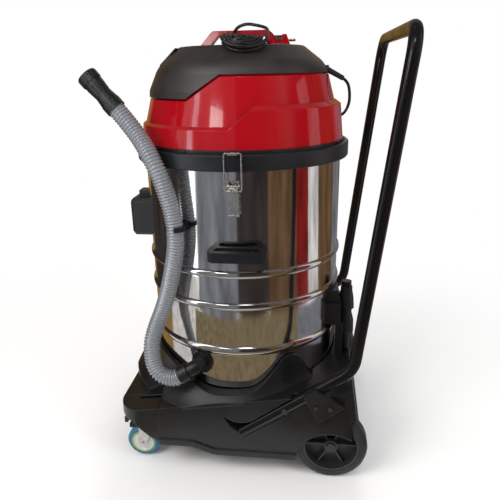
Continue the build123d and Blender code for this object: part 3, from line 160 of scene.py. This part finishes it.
warm_wall, dark_door, brown_wood = (0.30, 0.18, 0.06), (0.04, 0.03, 0.03), (0.14, 0.08, 0.04)
grey_wall, pale_window, red_cloth = (0.20, 0.21, 0.24), (0.70, 0.68, 0.68), (0.20, 0.01, 0.01)
stone_floor, dim_ceiling = (0.22, 0.17, 0.10), (0.13, 0.13, 0.14)
low_card, high_card, strip_card = (6.0, 6.0, 6.0), (7.0, 7.0, 7.0), (2.6, 2.8, 3.1)
upper_boards = (
    (-180, -120, warm_wall), (-120, -60, dark_door), (-60, -40, pale_window), (-40, 0, grey_wall),
    (0, 30, dark_door), (30, 60, brown_wood), (60, 75, red_cloth), (75, 90, pale_window),
    (90, 120, brown_wood), (120, 150, grey_wall), (150, 180, warm_wall),
)
lower_boards = (
    (-180, -80, warm_wall), (-80, -45, pale_window), (-45, 60, stone_floor), (60, 180, grey_wall),
)
tent = (
    ((0.45, 0.01), (0.56, 0.21), lower_boards),
    ((0.56, 0.21), (1.3, 1.6), upper_boards),
    ((1.3, 1.6), (0.1, 2.3), ((-180, 180, dim_ceiling),)),
    ((0.88, 0.92), (1.0, 1.16), ((-27, -13, low_card),)),
    ((1.05, 1.62), (0.85, 1.95), ((-2, 14, high_card),)),
    ((0.58, 0.3), (1.08, 1.3), ((-47, -41, strip_card),)),
)
floor_speckle, wall_streak, widest_board = (60, 60, 60), (14, 14, 0.6), 30
for tier, ((low_r, low_z), (high_r, high_z), boards) in enumerate(tent):
    for board, (start, stop, shade) in enumerate(boards):
        name = "board_%d_%d" % (tier, board)
        board_mat = bpy.data.materials.new(name)
        board_mat.use_nodes = True
        board_tree = board_mat.node_tree
        board_tree.nodes.remove(board_tree.nodes["Principled BSDF"])
        board_glow = board_tree.nodes.new("ShaderNodeEmission")
        board_glow.inputs["Color"].default_value = (*shade, 1)
        streak = board_tree.nodes.new("ShaderNodeMath")
        streak.operation = "MULTIPLY_ADD"
        streak.inputs[1].default_value = 0.8
        streak.inputs[2].default_value = 0.55
        grain = cloud(board_mat, 1.0, 4.0, wall_streak if tier else floor_speckle, 0.3, 0.7)
        board_out = board_tree.nodes["Material Output"]
        board_tree.links.new(grain, streak.inputs[0])
        board_tree.links.new(streak.outputs["Value"], board_glow.inputs["Strength"])
        board_tree.links.new(board_glow.outputs["Emission"], board_out.inputs["Surface"])
        steps = max(1, round((stop - start) / widest_board))
        for step in range(steps):
            bearings = [math.radians(start + (stop - start) * (step + end) / steps) for end in (0, 1)]
            edges = [Vector((math.sin(b), -math.cos(b), 0)) for b in bearings]
            sheet = stage_sheet("%s_%d" % (name, step), [
                edges[0] * low_r + upward * low_z, edges[1] * low_r + upward * low_z,
                edges[1] * high_r + upward * high_z, edges[0] * high_r + upward * high_z,
            ], board_mat)
            sheet.visible_camera = False
            sheet.visible_diffuse = False
            sheet.visible_transmission = False
            sheet.visible_shadow = False

# Trolley: one black polyethylene moulding, a skirt with a saddle the tank sits in, and a loose
# corner cover over each front caster. The mould leaves a fine grain; handling leaves pale scuffs.


def finish(name, colour, roughness, metallic=0.0, edge=0.0):
    """A new surface; edge is the radius in metres that its sharp corners are shaded to."""
    mat = bpy.data.materials.new(name)
    mat.use_nodes = True
    shader = mat.node_tree.nodes["Principled BSDF"]
    shader.inputs["Base Color"].default_value = (*colour, 1)
    shader.inputs["Roughness"].default_value = roughness
    shader.inputs["Metallic"].default_value = metallic
    if edge:
        soft = mat.node_tree.nodes.new("ShaderNodeBevel")
        soft.samples = 6
        soft.inputs["Radius"].default_value = edge
        mat.node_tree.links.new(soft.outputs["Normal"], shader.inputs["Normal"])
    return mat


def tint(mat, share, colour):
    """Mixes a colour over the surface's present one by the share socket."""
    tree = mat.node_tree
    base = tree.nodes["Principled BSDF"].inputs["Base Color"]
    mix = tree.nodes.new("ShaderNodeMix")
    mix.data_type = "RGBA"
    tree.links.new(share, mix.inputs["Factor"])
    if base.is_linked:
        tree.links.new(base.links[0].from_socket, mix.inputs["A"])
    else:
        mix.inputs["A"].default_value = base.default_value
    mix.inputs["B"].default_value = (*colour, 1)
    tree.links.new(mix.outputs["Result"], base)


def sheen_range(mat, share, low, high):
    """Roughness runs from low to high with the share socket."""
    tree = mat.node_tree
    span = tree.nodes.new("ShaderNodeMapRange")
    span.inputs["To Min"].default_value = low
    span.inputs["To Max"].default_value = high
    tree.links.new(share, span.inputs["Value"])
    tree.links.new(span.outputs["Result"], tree.nodes["Principled BSDF"].inputs["Roughness"])


def relief(mat, share, height, strength=1.0):
    """Raises the surface by height metres with the share socket, over any relief it has already."""
    tree = mat.node_tree
    normal = tree.nodes["Principled BSDF"].inputs["Normal"]
    bump = tree.nodes.new("ShaderNodeBump")
    bump.inputs["Distance"].default_value = height
    bump.inputs["Strength"].default_value = strength
    tree.links.new(share, bump.inputs["Height"])
    if normal.is_linked:
        tree.links.new(normal.links[0].from_socket, bump.inputs["Normal"])
    tree.links.new(bump.outputs["Normal"], normal)


def scaled(mat, share, factor):
    """A share socket made weaker."""
    node = mat.node_tree.nodes.new("ShaderNodeMath")
    node.operation = "MULTIPLY"
    node.inputs[1].default_value = factor
    mat.node_tree.links.new(share, node.inputs[0])
    return node.outputs["Value"]


def moulding(name, colour, worn, roughness, grain=0.00005, edge=0.0012):
    """Moulded plastic: mould grain, a cloudy bloom, and fine scuffs in the worn colour."""
    mat = finish(name, colour, roughness, 0.0, edge)
    bloom = cloud(mat, 9.0, 4.0)
    tint(mat, scaled(mat, bloom, 0.45), [0.6 * c + 0.4 * w for c, w in zip(colour, worn)])
    scuff = cloud(mat, 55.0, 6.0, (1.0, 1.0, 5.0), 0.62, 0.76)
    tint(mat, scaled(mat, scuff, 0.5), worn)
    sheen_range(mat, bloom, roughness - 0.05, roughness + 0.09)
    relief(mat, cloud(mat, 1500.0, 2.0), grain, 0.6)
    return mat


def dress(mat, *names):
    """Puts a surface on CAD nodes."""
    for name in names:
        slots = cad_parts[name].material_slots
        if not slots:
            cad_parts[name].data.materials.append(mat)
        for slot in slots:
            slot.material = mat


trolley_black = moulding(
    "trolley_black", (0.005, 0.0053, 0.0065), (0.02, 0.021, 0.024), 0.3, 0.00004, 0.004,
)
dress(trolley_black, "trolley_base", "caster_cover_near", "caster_cover_far")

# Push handle: 25 mm steel tube bent to a U with a knee at each side, black gloss paint over it.
# Moulded clamps hold the lower runs to the trolley flanks; the parking post is the same tube stock.
handle_black = finish("handle_black", (0.004, 0.004, 0.0048), 0.22)
handle_shader = handle_black.node_tree.nodes["Principled BSDF"]
handle_shader.inputs["Coat Weight"].default_value = 0.12
handle_shader.inputs["Specular IOR Level"].default_value = 0.38
handle_shader.inputs["Coat Roughness"].default_value = 0.08
paint_flow = cloud(handle_black, 160.0, 2.0)
relief(handle_black, paint_flow, 0.00006, 0.5)
paint_rub = cloud(handle_black, 14.0, 6.0, (1, 1, 1), 0.5, 0.75)
sheen_range(handle_black, paint_rub, 0.18, 0.36)
paint_chips = cloud(handle_black, 240.0, 3.0, (1, 1, 1), 0.7, 0.8)
tint(handle_black, scaled(handle_black, paint_chips, 0.5), (0.05, 0.05, 0.052))
dress(handle_black, "push_handle", "rear_post")
clamp_black = moulding("clamp_black", (0.006, 0.0065, 0.0075), (0.022, 0.022, 0.025), 0.36, 0.00004, 0.002)
dress(clamp_black, "handle_clamp_near", "handle_clamp_far", "rear_bracket")

# Fasteners: blackened pan screws through the clamps, the handle feet and the tank handles, a little
# grey where the driver has rubbed them.
black_screw = finish("black_screw", (0.05, 0.05, 0.052), 0.36, 0.7, 0.0004)
tint(black_screw, scaled(black_screw, cloud(black_screw, 260.0, 3.0), 0.5), (0.12, 0.12, 0.12))
sheen_range(black_screw, cloud(black_screw, 130.0, 3.0), 0.28, 0.46)
dress(black_screw, "screws")

# Rear wheels: a hard rubber tyre on a dished black hub with spokes, free on a plain steel axle that
# is closed with pushed-on caps. The tread is dusty where it meets the floor.
tyre_black = finish("tyre_black", (0.012, 0.012, 0.013), 0.62, 0.0, 0.0015)
tyre_dust = cloud(tyre_black, 26.0, 6.0, (1, 1, 1), 0.42, 0.72)
tint(tyre_black, scaled(tyre_black, tyre_dust, 0.5), (0.06, 0.057, 0.052))
sheen_range(tyre_black, tyre_dust, 0.5, 0.78)
relief(tyre_black, cloud(tyre_black, 900.0, 3.0), 0.00012, 0.6)
dress(tyre_black, "rear_tyre_near", "rear_tyre_far")
hub_black = moulding("hub_black", (0.017, 0.017, 0.019), (0.07, 0.07, 0.072), 0.42)
dress(hub_black, "rear_hub_near", "rear_hub_far", "axle_caps")
axle_steel = finish("axle_steel", (0.5, 0.5, 0.5), 0.34, 1.0)
sheen_range(axle_steel, cloud(axle_steel, 90.0, 4.0, (1, 8, 1)), 0.25, 0.45)
dress(axle_steel, "rear_axle")

# Front casters: pressed zinc fork and plate, a teal soft tread on a white nylon wheel, with a green
# ring between the two.
zinc_fork = finish("zinc_fork", (0.6, 0.6, 0.58), 0.32, 1.0, 0.0006)
tint(zinc_fork, cloud(zinc_fork, 60.0, 4.0), (0.5, 0.48, 0.42))
sheen_range(zinc_fork, cloud(zinc_fork, 140.0, 4.0), 0.24, 0.46)
dress(zinc_fork, "caster_fork_near", "caster_fork_far", "caster_plates")
teal_tread = finish("teal_tread", (0.008, 0.14, 0.28), 0.5, 0.0, 0.001)
tread_grime = cloud(teal_tread, 40.0, 6.0, (1, 1, 1), 0.45, 0.75)
tint(teal_tread, scaled(teal_tread, tread_grime, 0.55), (0.03, 0.07, 0.09))
sheen_range(teal_tread, tread_grime, 0.4, 0.7)
dress(teal_tread, "caster_tyre_near", "caster_tyre_far")
nylon_white = finish("nylon_white", (0.66, 0.67, 0.66), 0.4, 0.0, 0.0006)
tint(nylon_white, scaled(nylon_white, cloud(nylon_white, 50.0, 5.0), 0.35), (0.4, 0.4, 0.37))
sheen_range(nylon_white, cloud(nylon_white, 90.0, 3.0), 0.32, 0.5)
dress(nylon_white, "caster_hub_near", "caster_hub_far")


def lathe(name, profile, steps, mat, closed=False):
    """A smooth mesh turned about the Z axis from points of radius and height."""
    rows = len(profile)
    corners = []
    for turn_step in range(steps):
        bearing = 2 * math.pi * turn_step / steps
        corners += [(r * math.cos(bearing), r * math.sin(bearing), z) for r, z in profile]
    faces = []
    for turn_step in range(steps):
        here, there = turn_step * rows, (turn_step + 1) % steps * rows
        for row in range(rows if closed else rows - 1):
            after = (row + 1) % rows
            faces.append((here + row, there + row, there + after, here + after))
    mesh = bpy.data.meshes.new(name)
    mesh.from_pydata(corners, [], faces)
    mesh.materials.append(mat)
    mesh.shade_smooth()
    mesh.set_sharp_from_angle(angle=math.radians(35))
    return mesh


ring_green = finish("ring_green", (0.22, 0.35, 0.045), 0.45)
tint(ring_green, scaled(ring_green, cloud(ring_green, 80.0, 4.0), 0.4), (0.13, 0.2, 0.04))
caster_x, caster_y, caster_z, ring_face = -0.222, 0.212, 0.038, 0.0122
ring_in, ring_out, ring_half = 0.0252, 0.029, 0.0003
for side, reach in (("near", -caster_y), ("far", caster_y)):
    rings = bmesh.new()
    for face_y in (-ring_face, ring_face):
        band = lathe("band", [
            (ring_in, -ring_half), (ring_out, -ring_half), (ring_out, ring_half), (ring_in, ring_half),
        ], 64, ring_green, True)
        upright = Matrix.Rotation(math.pi / 2, 4, "X")
        band.transform(Matrix.Translation((caster_x, reach + face_y, caster_z)) @ upright)
        rings.from_mesh(band)
    ring_mesh = bpy.data.meshes.new("caster_ring_" + side)
    rings.to_mesh(ring_mesh)
    rings.free()
    ring_mesh.materials.append(ring_green)
    caster_ring = bpy.data.objects.new("caster_ring_" + side, ring_mesh)
    scene.collection.objects.link(caster_ring)
    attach(caster_ring, "caster_wheel_" + side)

# Tank: bright stainless sheet, spun with three rolled beads. The sheet is polished, so it mirrors
# the room, with a slight waviness and the smears of wiping.
tank_steel = finish("tank_steel", (0.72, 0.71, 0.69), 0.08, 1.0)
tank_wipe = cloud(tank_steel, 5.0, 6.0, (1.0, 1.0, 0.5), 0.35, 0.75)
sheen_range(tank_steel, tank_wipe, 0.05, 0.17)
tint(tank_steel, scaled(tank_steel, tank_wipe, 0.35), (0.62, 0.58, 0.53))
relief(tank_steel, cloud(tank_steel, 7.0, 1.0), 0.0012, 0.25)
tank_r, tank_wall, tank_floor, tank_top, tank_corner = 0.22, 0.0012, 0.185, 0.70, 0.014
bead_rows, bead_out = ((0.287, 0.020), (0.3925, 0.017), (0.4645, 0.017)), 0.005


def tank_line(inset):
    """Half section of the tank from the floor centre to the rim, drawn in by the inset."""
    r, z, corner = tank_r - inset, tank_floor + inset, tank_corner - inset
    line = [(0.001, z), (r - corner, z)]
    for arc in range(1, 9):
        lean = arc * math.pi / 16
        line.append((r - corner + corner * math.sin(lean), z + corner - corner * math.cos(lean)))
    level = z + corner
    for middle, height in bead_rows + ((tank_top + 0.01, 0.02),):
        foot = middle - height / 2
        rows = max(2, int((foot - level) / 0.012))
        line += [(r, level + (foot - level) * row / rows) for row in range(1, rows + 1)]
        if middle < tank_top:
            bulge = (height ** 2 / 4 + bead_out ** 2) / (2 * bead_out)
            for arc in range(1, 12):
                rise = (arc / 12 - 0.5) * height
                line.append((r + bead_out - bulge + math.sqrt(bulge ** 2 - rise ** 2), middle + rise))
            line.append((r, middle + height / 2))
        level = middle + height / 2
    return line


tank_mesh = lathe("tank_sheet", tank_line(0.0) + tank_line(tank_wall)[::-1], 192, tank_steel)
inlet_hole, drain_hole = (-tank_r, 0, 0.535), (-0.0722, -0.2078, 0.2521)
inlet_hole_r, drain_hole_r = 0.034, 0.021
holes = ((Vector(inlet_hole), inlet_hole_r), (Vector(drain_hole), drain_hole_r))
open_mesh = bmesh.new()
open_mesh.from_mesh(tank_mesh)
inside_hole = [
    f for f in open_mesh.faces
    if any((f.calc_center_median() - middle).length < reach for middle, reach in holes)
]
bmesh.ops.delete(open_mesh, geom=inside_hole, context="FACES")
open_mesh.to_mesh(tank_mesh)
open_mesh.free()
tank = bpy.data.objects.new("tank_sheet", tank_mesh)
scene.collection.objects.link(tank)
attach(tank, "machine")
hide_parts("tank_shell")

# Rim collar and head ring: black mouldings that meet at the lid seal, with a soft rubber gasket.
collar_black = moulding(
    "collar_black", (0.0065, 0.007, 0.0085), (0.025, 0.026, 0.03), 0.33, 0.00004, 0.002,
)
dress(collar_black, "tank_collar", "head_base")
seal_rubber = finish("seal_rubber", (0.01, 0.01, 0.01), 0.7)
relief(seal_rubber, cloud(seal_rubber, 700.0, 2.0), 0.0001, 0.5)
dress(seal_rubber, "head_gasket")

# Tank fittings: grab handles, suction inlet box with its inner hood, drain elbow and hose clip, all
# in one black moulding compound, screwed to the tank.
fitting_black = moulding("fitting_black", (0.006, 0.0062, 0.0072), (0.022, 0.022, 0.025), 0.34)
dress(
    fitting_black, "tank_handle_near", "tank_handle_far", "suction_inlet", "inlet_deflector", "drain_elbow",
    "hose_clip", "hose_coupling", "drain_cap",
)

# Toggle latches: pressed zinc base and lever with a sprung wire bail that hooks over the head ring.
latch_zinc = finish("latch_zinc", (0.68, 0.67, 0.64), 0.24, 1.0, 0.0005)
tint(latch_zinc, scaled(latch_zinc, cloud(latch_zinc, 70.0, 4.0), 0.6), (0.55, 0.52, 0.44))
sheen_range(latch_zinc, cloud(latch_zinc, 160.0, 4.0, (1, 1, 3)), 0.16, 0.34)
dress(
    latch_zinc, "latch_bases", "latch_hooks", "latch_lever_near", "latch_lever_far", "latch_bail_near",
    "latch_bail_far",
)

# Drain hose: spiral-ribbed grey plastic hose from the elbow up past its clip to a free end, closed
# by the coupling's cap. It stands in a lazy S because the hose is stiff.
hose_route = (
    (-0.1040, -0.2342, 0.2380), (-0.1160, -0.2360, 0.2310), (-0.1296, -0.2380, 0.2230),
    (-0.1583, -0.2373, 0.2272), (-0.1775, -0.2322, 0.2484), (-0.1840, -0.2190, 0.2940),
    (-0.1750, -0.2050, 0.3300), (-0.1595, -0.2000, 0.3650), (-0.1452, -0.2030, 0.4030),
    (-0.1316, -0.2085, 0.4450), (-0.1205, -0.2145, 0.4880), (-0.1130, -0.2174, 0.5265),
    (-0.1126, -0.2176, 0.5630), (-0.1170, -0.2165, 0.5980), (-0.1250, -0.2167, 0.6300),
    (-0.1350, -0.2197, 0.6670), (-0.1494, -0.2177, 0.7000), (-0.1840, -0.1950, 0.7520),
    (-0.2300, -0.1900, 0.8040),
)
hose_ribs, rib_steps = 110, 8
hose_root, hose_crest = 0.0156, 0.018


def smooth_line(name, points):
    """A curve object with one smooth open spline on these control points."""
    curve = bpy.data.curves.new(name, "CURVE")
    curve.dimensions = "3D"
    curve.resolution_u = 10
    spline = curve.splines.new("NURBS")
    spline.points.add(len(points) - 1)
    for point, place in zip(spline.points, points):
        point.co = (*place, 1.0)
    spline.order_u = 3
    spline.use_endpoint_u = True
    line = bpy.data.objects.new(name, curve)
    scene.collection.objects.link(line)
    return line


def plain_mesh(piece):
    """The evaluated shape of an object as a mesh of its own."""
    bpy.context.view_layer.update()
    depsgraph = bpy.context.evaluated_depsgraph_get()
    return bpy.data.meshes.new_from_object(piece.evaluated_get(depsgraph), depsgraph=depsgraph)


hose_line = smooth_line("hose_line", hose_route)
hose_path = [tuple(v.co) for v in plain_mesh(hose_line).vertices]

hose_grey = finish("hose_grey", (0.35, 0.37, 0.40), 0.26, 0.45)
hose_dust = cloud(hose_grey, 30.0, 5.0)
tint(hose_grey, scaled(hose_grey, hose_dust, 0.4), (0.24, 0.25, 0.27))
sheen_range(hose_grey, hose_dust, 0.2, 0.34)

hose_tree = bpy.data.node_groups.new("ribbed_hose", "GeometryNodeTree")
hose_tree.interface.new_socket("Geometry", in_out="INPUT", socket_type="NodeSocketGeometry")
hose_inputs = {}
for label, kind in (("Ribs", "NodeSocketInt"), ("Steps", "NodeSocketInt"), ("Root", "NodeSocketFloat"),
                    ("Crest", "NodeSocketFloat")):
    hose_inputs[label] = hose_tree.interface.new_socket(label, in_out="INPUT", socket_type=kind).identifier
hose_tree.interface.new_socket("Geometry", in_out="OUTPUT", socket_type="NodeSocketGeometry")
gn = hose_tree.nodes.new
gin, gout = gn("NodeGroupInput"), gn("NodeGroupOutput")
total = gn("ShaderNodeMath")
total.operation = "MULTIPLY"
fine = gn("GeometryNodeResampleCurve")
spot = gn("GeometryNodeInputIndex")
phase = gn("ShaderNodeMath")
phase.operation = "DIVIDE"
wave_in = gn("ShaderNodeMath")
wave_in.operation = "MULTIPLY"
wave_in.inputs[1].default_value = 2 * math.pi
wave = gn("ShaderNodeMath")
wave.operation = "COSINE"
swell = gn("ShaderNodeMapRange")
swell.interpolation_type = "SMOOTHSTEP"
swell.inputs["From Min"].default_value = -0.75
swell.inputs["From Max"].default_value = 0.45
girth = gn("GeometryNodeSetCurveRadius")
ring = gn("GeometryNodeCurvePrimitiveCircle")
ring.inputs["Resolution"].default_value = 28
ring.inputs["Radius"].default_value = 1.0
skin = gn("GeometryNodeCurveToMesh")
soft = gn("GeometryNodeSetShadeSmooth")
real = gn("GeometryNodeRealizeInstances")
coat = gn("GeometryNodeSetMaterial")
coat.inputs["Material"].default_value = hose_grey
join = hose_tree.links.new
join(gin.outputs["Ribs"], total.inputs[0])
join(gin.outputs["Steps"], total.inputs[1])
join(gin.outputs["Geometry"], fine.inputs["Curve"])
join(total.outputs["Value"], fine.inputs["Count"])
join(spot.outputs["Index"], phase.inputs[0])
join(gin.outputs["Steps"], phase.inputs[1])
join(phase.outputs["Value"], wave_in.inputs[0])
join(wave_in.outputs["Value"], wave.inputs[0])
join(wave.outputs["Value"], swell.inputs["Value"])
join(gin.outputs["Root"], swell.inputs["To Min"])
join(gin.outputs["Crest"], swell.inputs["To Max"])
join(fine.outputs["Curve"], girth.inputs["Curve"])
join(swell.outputs["Result"], girth.inputs["Radius"])
join(girth.outputs["Curve"], skin.inputs["Curve"])
if "Scale" in skin.inputs:
    join(swell.outputs["Result"], skin.inputs["Scale"])
join(ring.outputs["Curve"], skin.inputs["Profile Curve"])
join(skin.outputs["Mesh"], soft.inputs["Geometry"])
join(soft.outputs["Geometry"], real.inputs["Geometry"])
join(real.outputs["Geometry"], coat.inputs["Geometry"])
join(coat.outputs["Geometry"], gout.inputs["Geometry"])
ribs = hose_line.modifiers.new("ribs", "NODES")
ribs.node_group = hose_tree
for label, value in (("Ribs", hose_ribs), ("Steps", rib_steps), ("Root", hose_root), ("Crest", hose_crest)):
    ribs[hose_inputs[label]] = value
hose = bpy.data.objects.new("drain_hose_ribbed", plain_mesh(hose_line))
scene.collection.objects.link(hose)
bpy.data.objects.remove(hose_line)
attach(hose, "machine")
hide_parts("drain_hose")

# Motor housing: red gloss moulding with stepped skirts and a cone, on the head ring over the motors.
red_gloss = finish("red_gloss", (0.36, 0.002, 0.007), 0.12, 0.0, 0.003)
red_shader = red_gloss.node_tree.nodes["Principled BSDF"]
red_shader.inputs["Coat Weight"].default_value = 0.5
red_shader.inputs["Coat Roughness"].default_value = 0.035
red_bloom = cloud(red_gloss, 6.0, 4.0)
tint(red_gloss, scaled(red_gloss, red_bloom, 0.35), (0.29, 0.0016, 0.006))
sheen_range(red_gloss, red_bloom, 0.09, 0.16)
relief(red_gloss, cloud(red_gloss, 120.0, 2.0), 0.00005, 0.4)
dress(red_gloss, "red_housing", "carry_handle")

# Top cover: dark brown-black dome with a satin grain, over the motor cooling space.
cover_brown = moulding("cover_brown", (0.02, 0.0165, 0.0155), (0.055, 0.049, 0.046), 0.38, 0.00004, 0.002)
dress(cover_brown, "top_cover")

# Switch panel: black plate on the cover's front facet, with three red rocker switches.
panel_black = moulding("panel_black", (0.012, 0.012, 0.013), (0.05, 0.05, 0.052), 0.5, 0.00005, 0.0008)
dress(panel_black, "switch_panel")
rocker_red = finish("rocker_red", (0.42, 0.01, 0.012), 0.22, 0.0, 0.0008)
sheen_range(rocker_red, cloud(rocker_red, 90.0, 3.0), 0.16, 0.34)
tint(rocker_red, scaled(rocker_red, cloud(rocker_red, 300.0, 3.0), 0.3), (0.3, 0.008, 0.01))
dress(rocker_red, "rocker_1", "rocker_2", "rocker_3")

# Inside the head: two cast motor cases with pressed fan rotors, a cloth filter bag below, and the
# float valve in its cage.
motor_alu = finish("motor_alu", (0.56, 0.56, 0.58), 0.45, 1.0)
relief(motor_alu, cloud(motor_alu, 500.0, 3.0), 0.0002, 0.6)
sheen_range(motor_alu, cloud(motor_alu, 40.0, 4.0), 0.36, 0.56)
dress(motor_alu, "motor_cases", "fan_rotor_front", "fan_rotor_rear")
filter_cloth = finish("filter_cloth", (0.6, 0.58, 0.53), 0.9)
tint(filter_cloth, cloud(filter_cloth, 20.0, 5.0), (0.48, 0.45, 0.4))
relief(filter_cloth, cloud(filter_cloth, 1800.0, 2.0), 0.0003, 0.8)
dress(filter_cloth, "dust_filter")
dress(fitting_black, "float_cage")
float_white = finish("float_white", (0.72, 0.72, 0.7), 0.4)
sheen_range(float_white, cloud(float_white, 60.0, 3.0), 0.3, 0.5)
dress(float_white, "float_ball")

# Power cord: black sheathed lead from a bend relief at the back of the head, round to the top, wound
# into a loose coil that hangs over the near shoulder of the cover, with a standing loop and a plug.
cord_black = finish("cord_black", (0.009, 0.009, 0.01), 0.3)
sheen_range(cord_black, cloud(cord_black, 60.0, 4.0), 0.22, 0.42)
tint(cord_black, scaled(cord_black, cloud(cord_black, 120.0, 4.0), 0.4), (0.022, 0.022, 0.024))
lead_points = (
    (0.2157, 0.0, 0.8434), (0.2298, 0.0, 0.8357), (0.236, 0.004, 0.814), (0.237, 0.018, 0.786),
    (0.227, 0.054, 0.760), (0.204, 0.108, 0.748), (0.167, 0.159, 0.766), (0.136, 0.176, 0.806),
    (0.112, 0.176, 0.852), (0.090, 0.153, 0.895), (0.064, 0.116, 0.920), (0.036, 0.080, 0.915),
    (0.016, 0.046, 0.9134), (0.008, 0.014, 0.917), (-0.006, -0.018, 0.9165), (-0.015, -0.050, 0.914),
    (-0.018, -0.084, 0.91305),
)
tail_points = (
    (0.067, -0.1045, 0.929), (0.066, -0.080, 0.936), (0.058, -0.055, 0.943), (0.040, -0.042, 0.948),
    (0.018, -0.041, 0.952), (-0.004, -0.037, 0.945), (-0.015, -0.025, 0.927), (-0.016, -0.003, 0.9174),
    (-0.008, 0.026, 0.9195), (0.010, 0.045, 0.922), (0.032, 0.050, 0.922), (0.054, 0.050, 0.922),
)
coil_x, coil_y, coil_lift, layer_rise = 0.024, -0.121, 0.00405, 0.0072
coil_rings = (0.042, 0.037, 0.03335, 0.0297, 0.02605, 0.0224, 0.01875, 0.01375)
cover_top, drape_r, drape_bend, drape_slope = 0.909, 0.130, 0.020, 0.66
marks = [(ring_r, 0.0) for ring_r in coil_rings] + [(ring_r, 1.0) for ring_r in coil_rings[::-1]]


def between(a, b, share):
    return a * (1 - share) + b * share


def draped(x, y, lift):
    """Point at a height over the cover: flat in the middle, then bent down the cover's shoulder."""
    r = math.hypot(x, y)
    run = max(0.0, r - drape_r)
    lean = min(run / drape_bend, drape_slope)
    rest = run - lean * drape_bend
    out = min(r, drape_r) + (drape_bend + lift) * math.sin(lean) + rest * math.cos(lean)
    fall = drape_bend * (1 - math.cos(lean)) + rest * math.sin(lean)
    return (x / r * out, y / r * out, cover_top - fall + lift * math.cos(lean))


half_steps = 8
coil_points = []
for mark in range(half_steps * (len(marks) - 1) + 1):
    half = mark / half_steps
    row = min(int(half), len(marks) - 2)
    reach = between(marks[row][0], marks[row + 1][0], half - row)
    layer = between(marks[row][1], marks[row + 1][1], (half - row) ** 2 * (3 - 2 * (half - row)))
    bearing = math.pi * (1 + half)
    tilt = 0.00382 * layer * (1 + math.cos(bearing - 2.74)) * reach / coil_rings[0]
    wave = 0.00092 * layer * (1 + math.cos(3 * bearing + 0.9 * half))
    oval = between(0.0011, 0.0041, layer) * math.cos(2 * bearing + between(5.65, 5.17, layer))
    reach = reach * 1.012 + oval
    coil_points.append(draped(
        coil_x - 0.00258 * layer + reach * math.cos(bearing),
        coil_y - 0.00272 * layer + reach * math.sin(bearing),
        coil_lift + layer_rise * layer + tilt + wave,
    ))
cord = smooth_line("power_cord", lead_points + tuple(coil_points) + tail_points)
cord.data.bevel_depth = 0.00325
cord.data.bevel_resolution = 3
cord.data.use_fill_caps = True
cord.data.resolution_u = 6
cord.data.materials.append(cord_black)
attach(cord, "machine")
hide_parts("cord_lead", "cord_coil", "cord_tail")
plug_black = moulding("plug_black", (0.012, 0.012, 0.013), (0.05, 0.05, 0.052), 0.42, 0.00004, 0.001)
dress(plug_black, "plug_body", "cord_gland")
pin_brass = finish("pin_brass", (0.62, 0.42, 0.17), 0.28, 1.0, 0.0004)
sheen_range(pin_brass, cloud(pin_brass, 200.0, 3.0), 0.2, 0.4)
dress(pin_brass, "plug_pins")
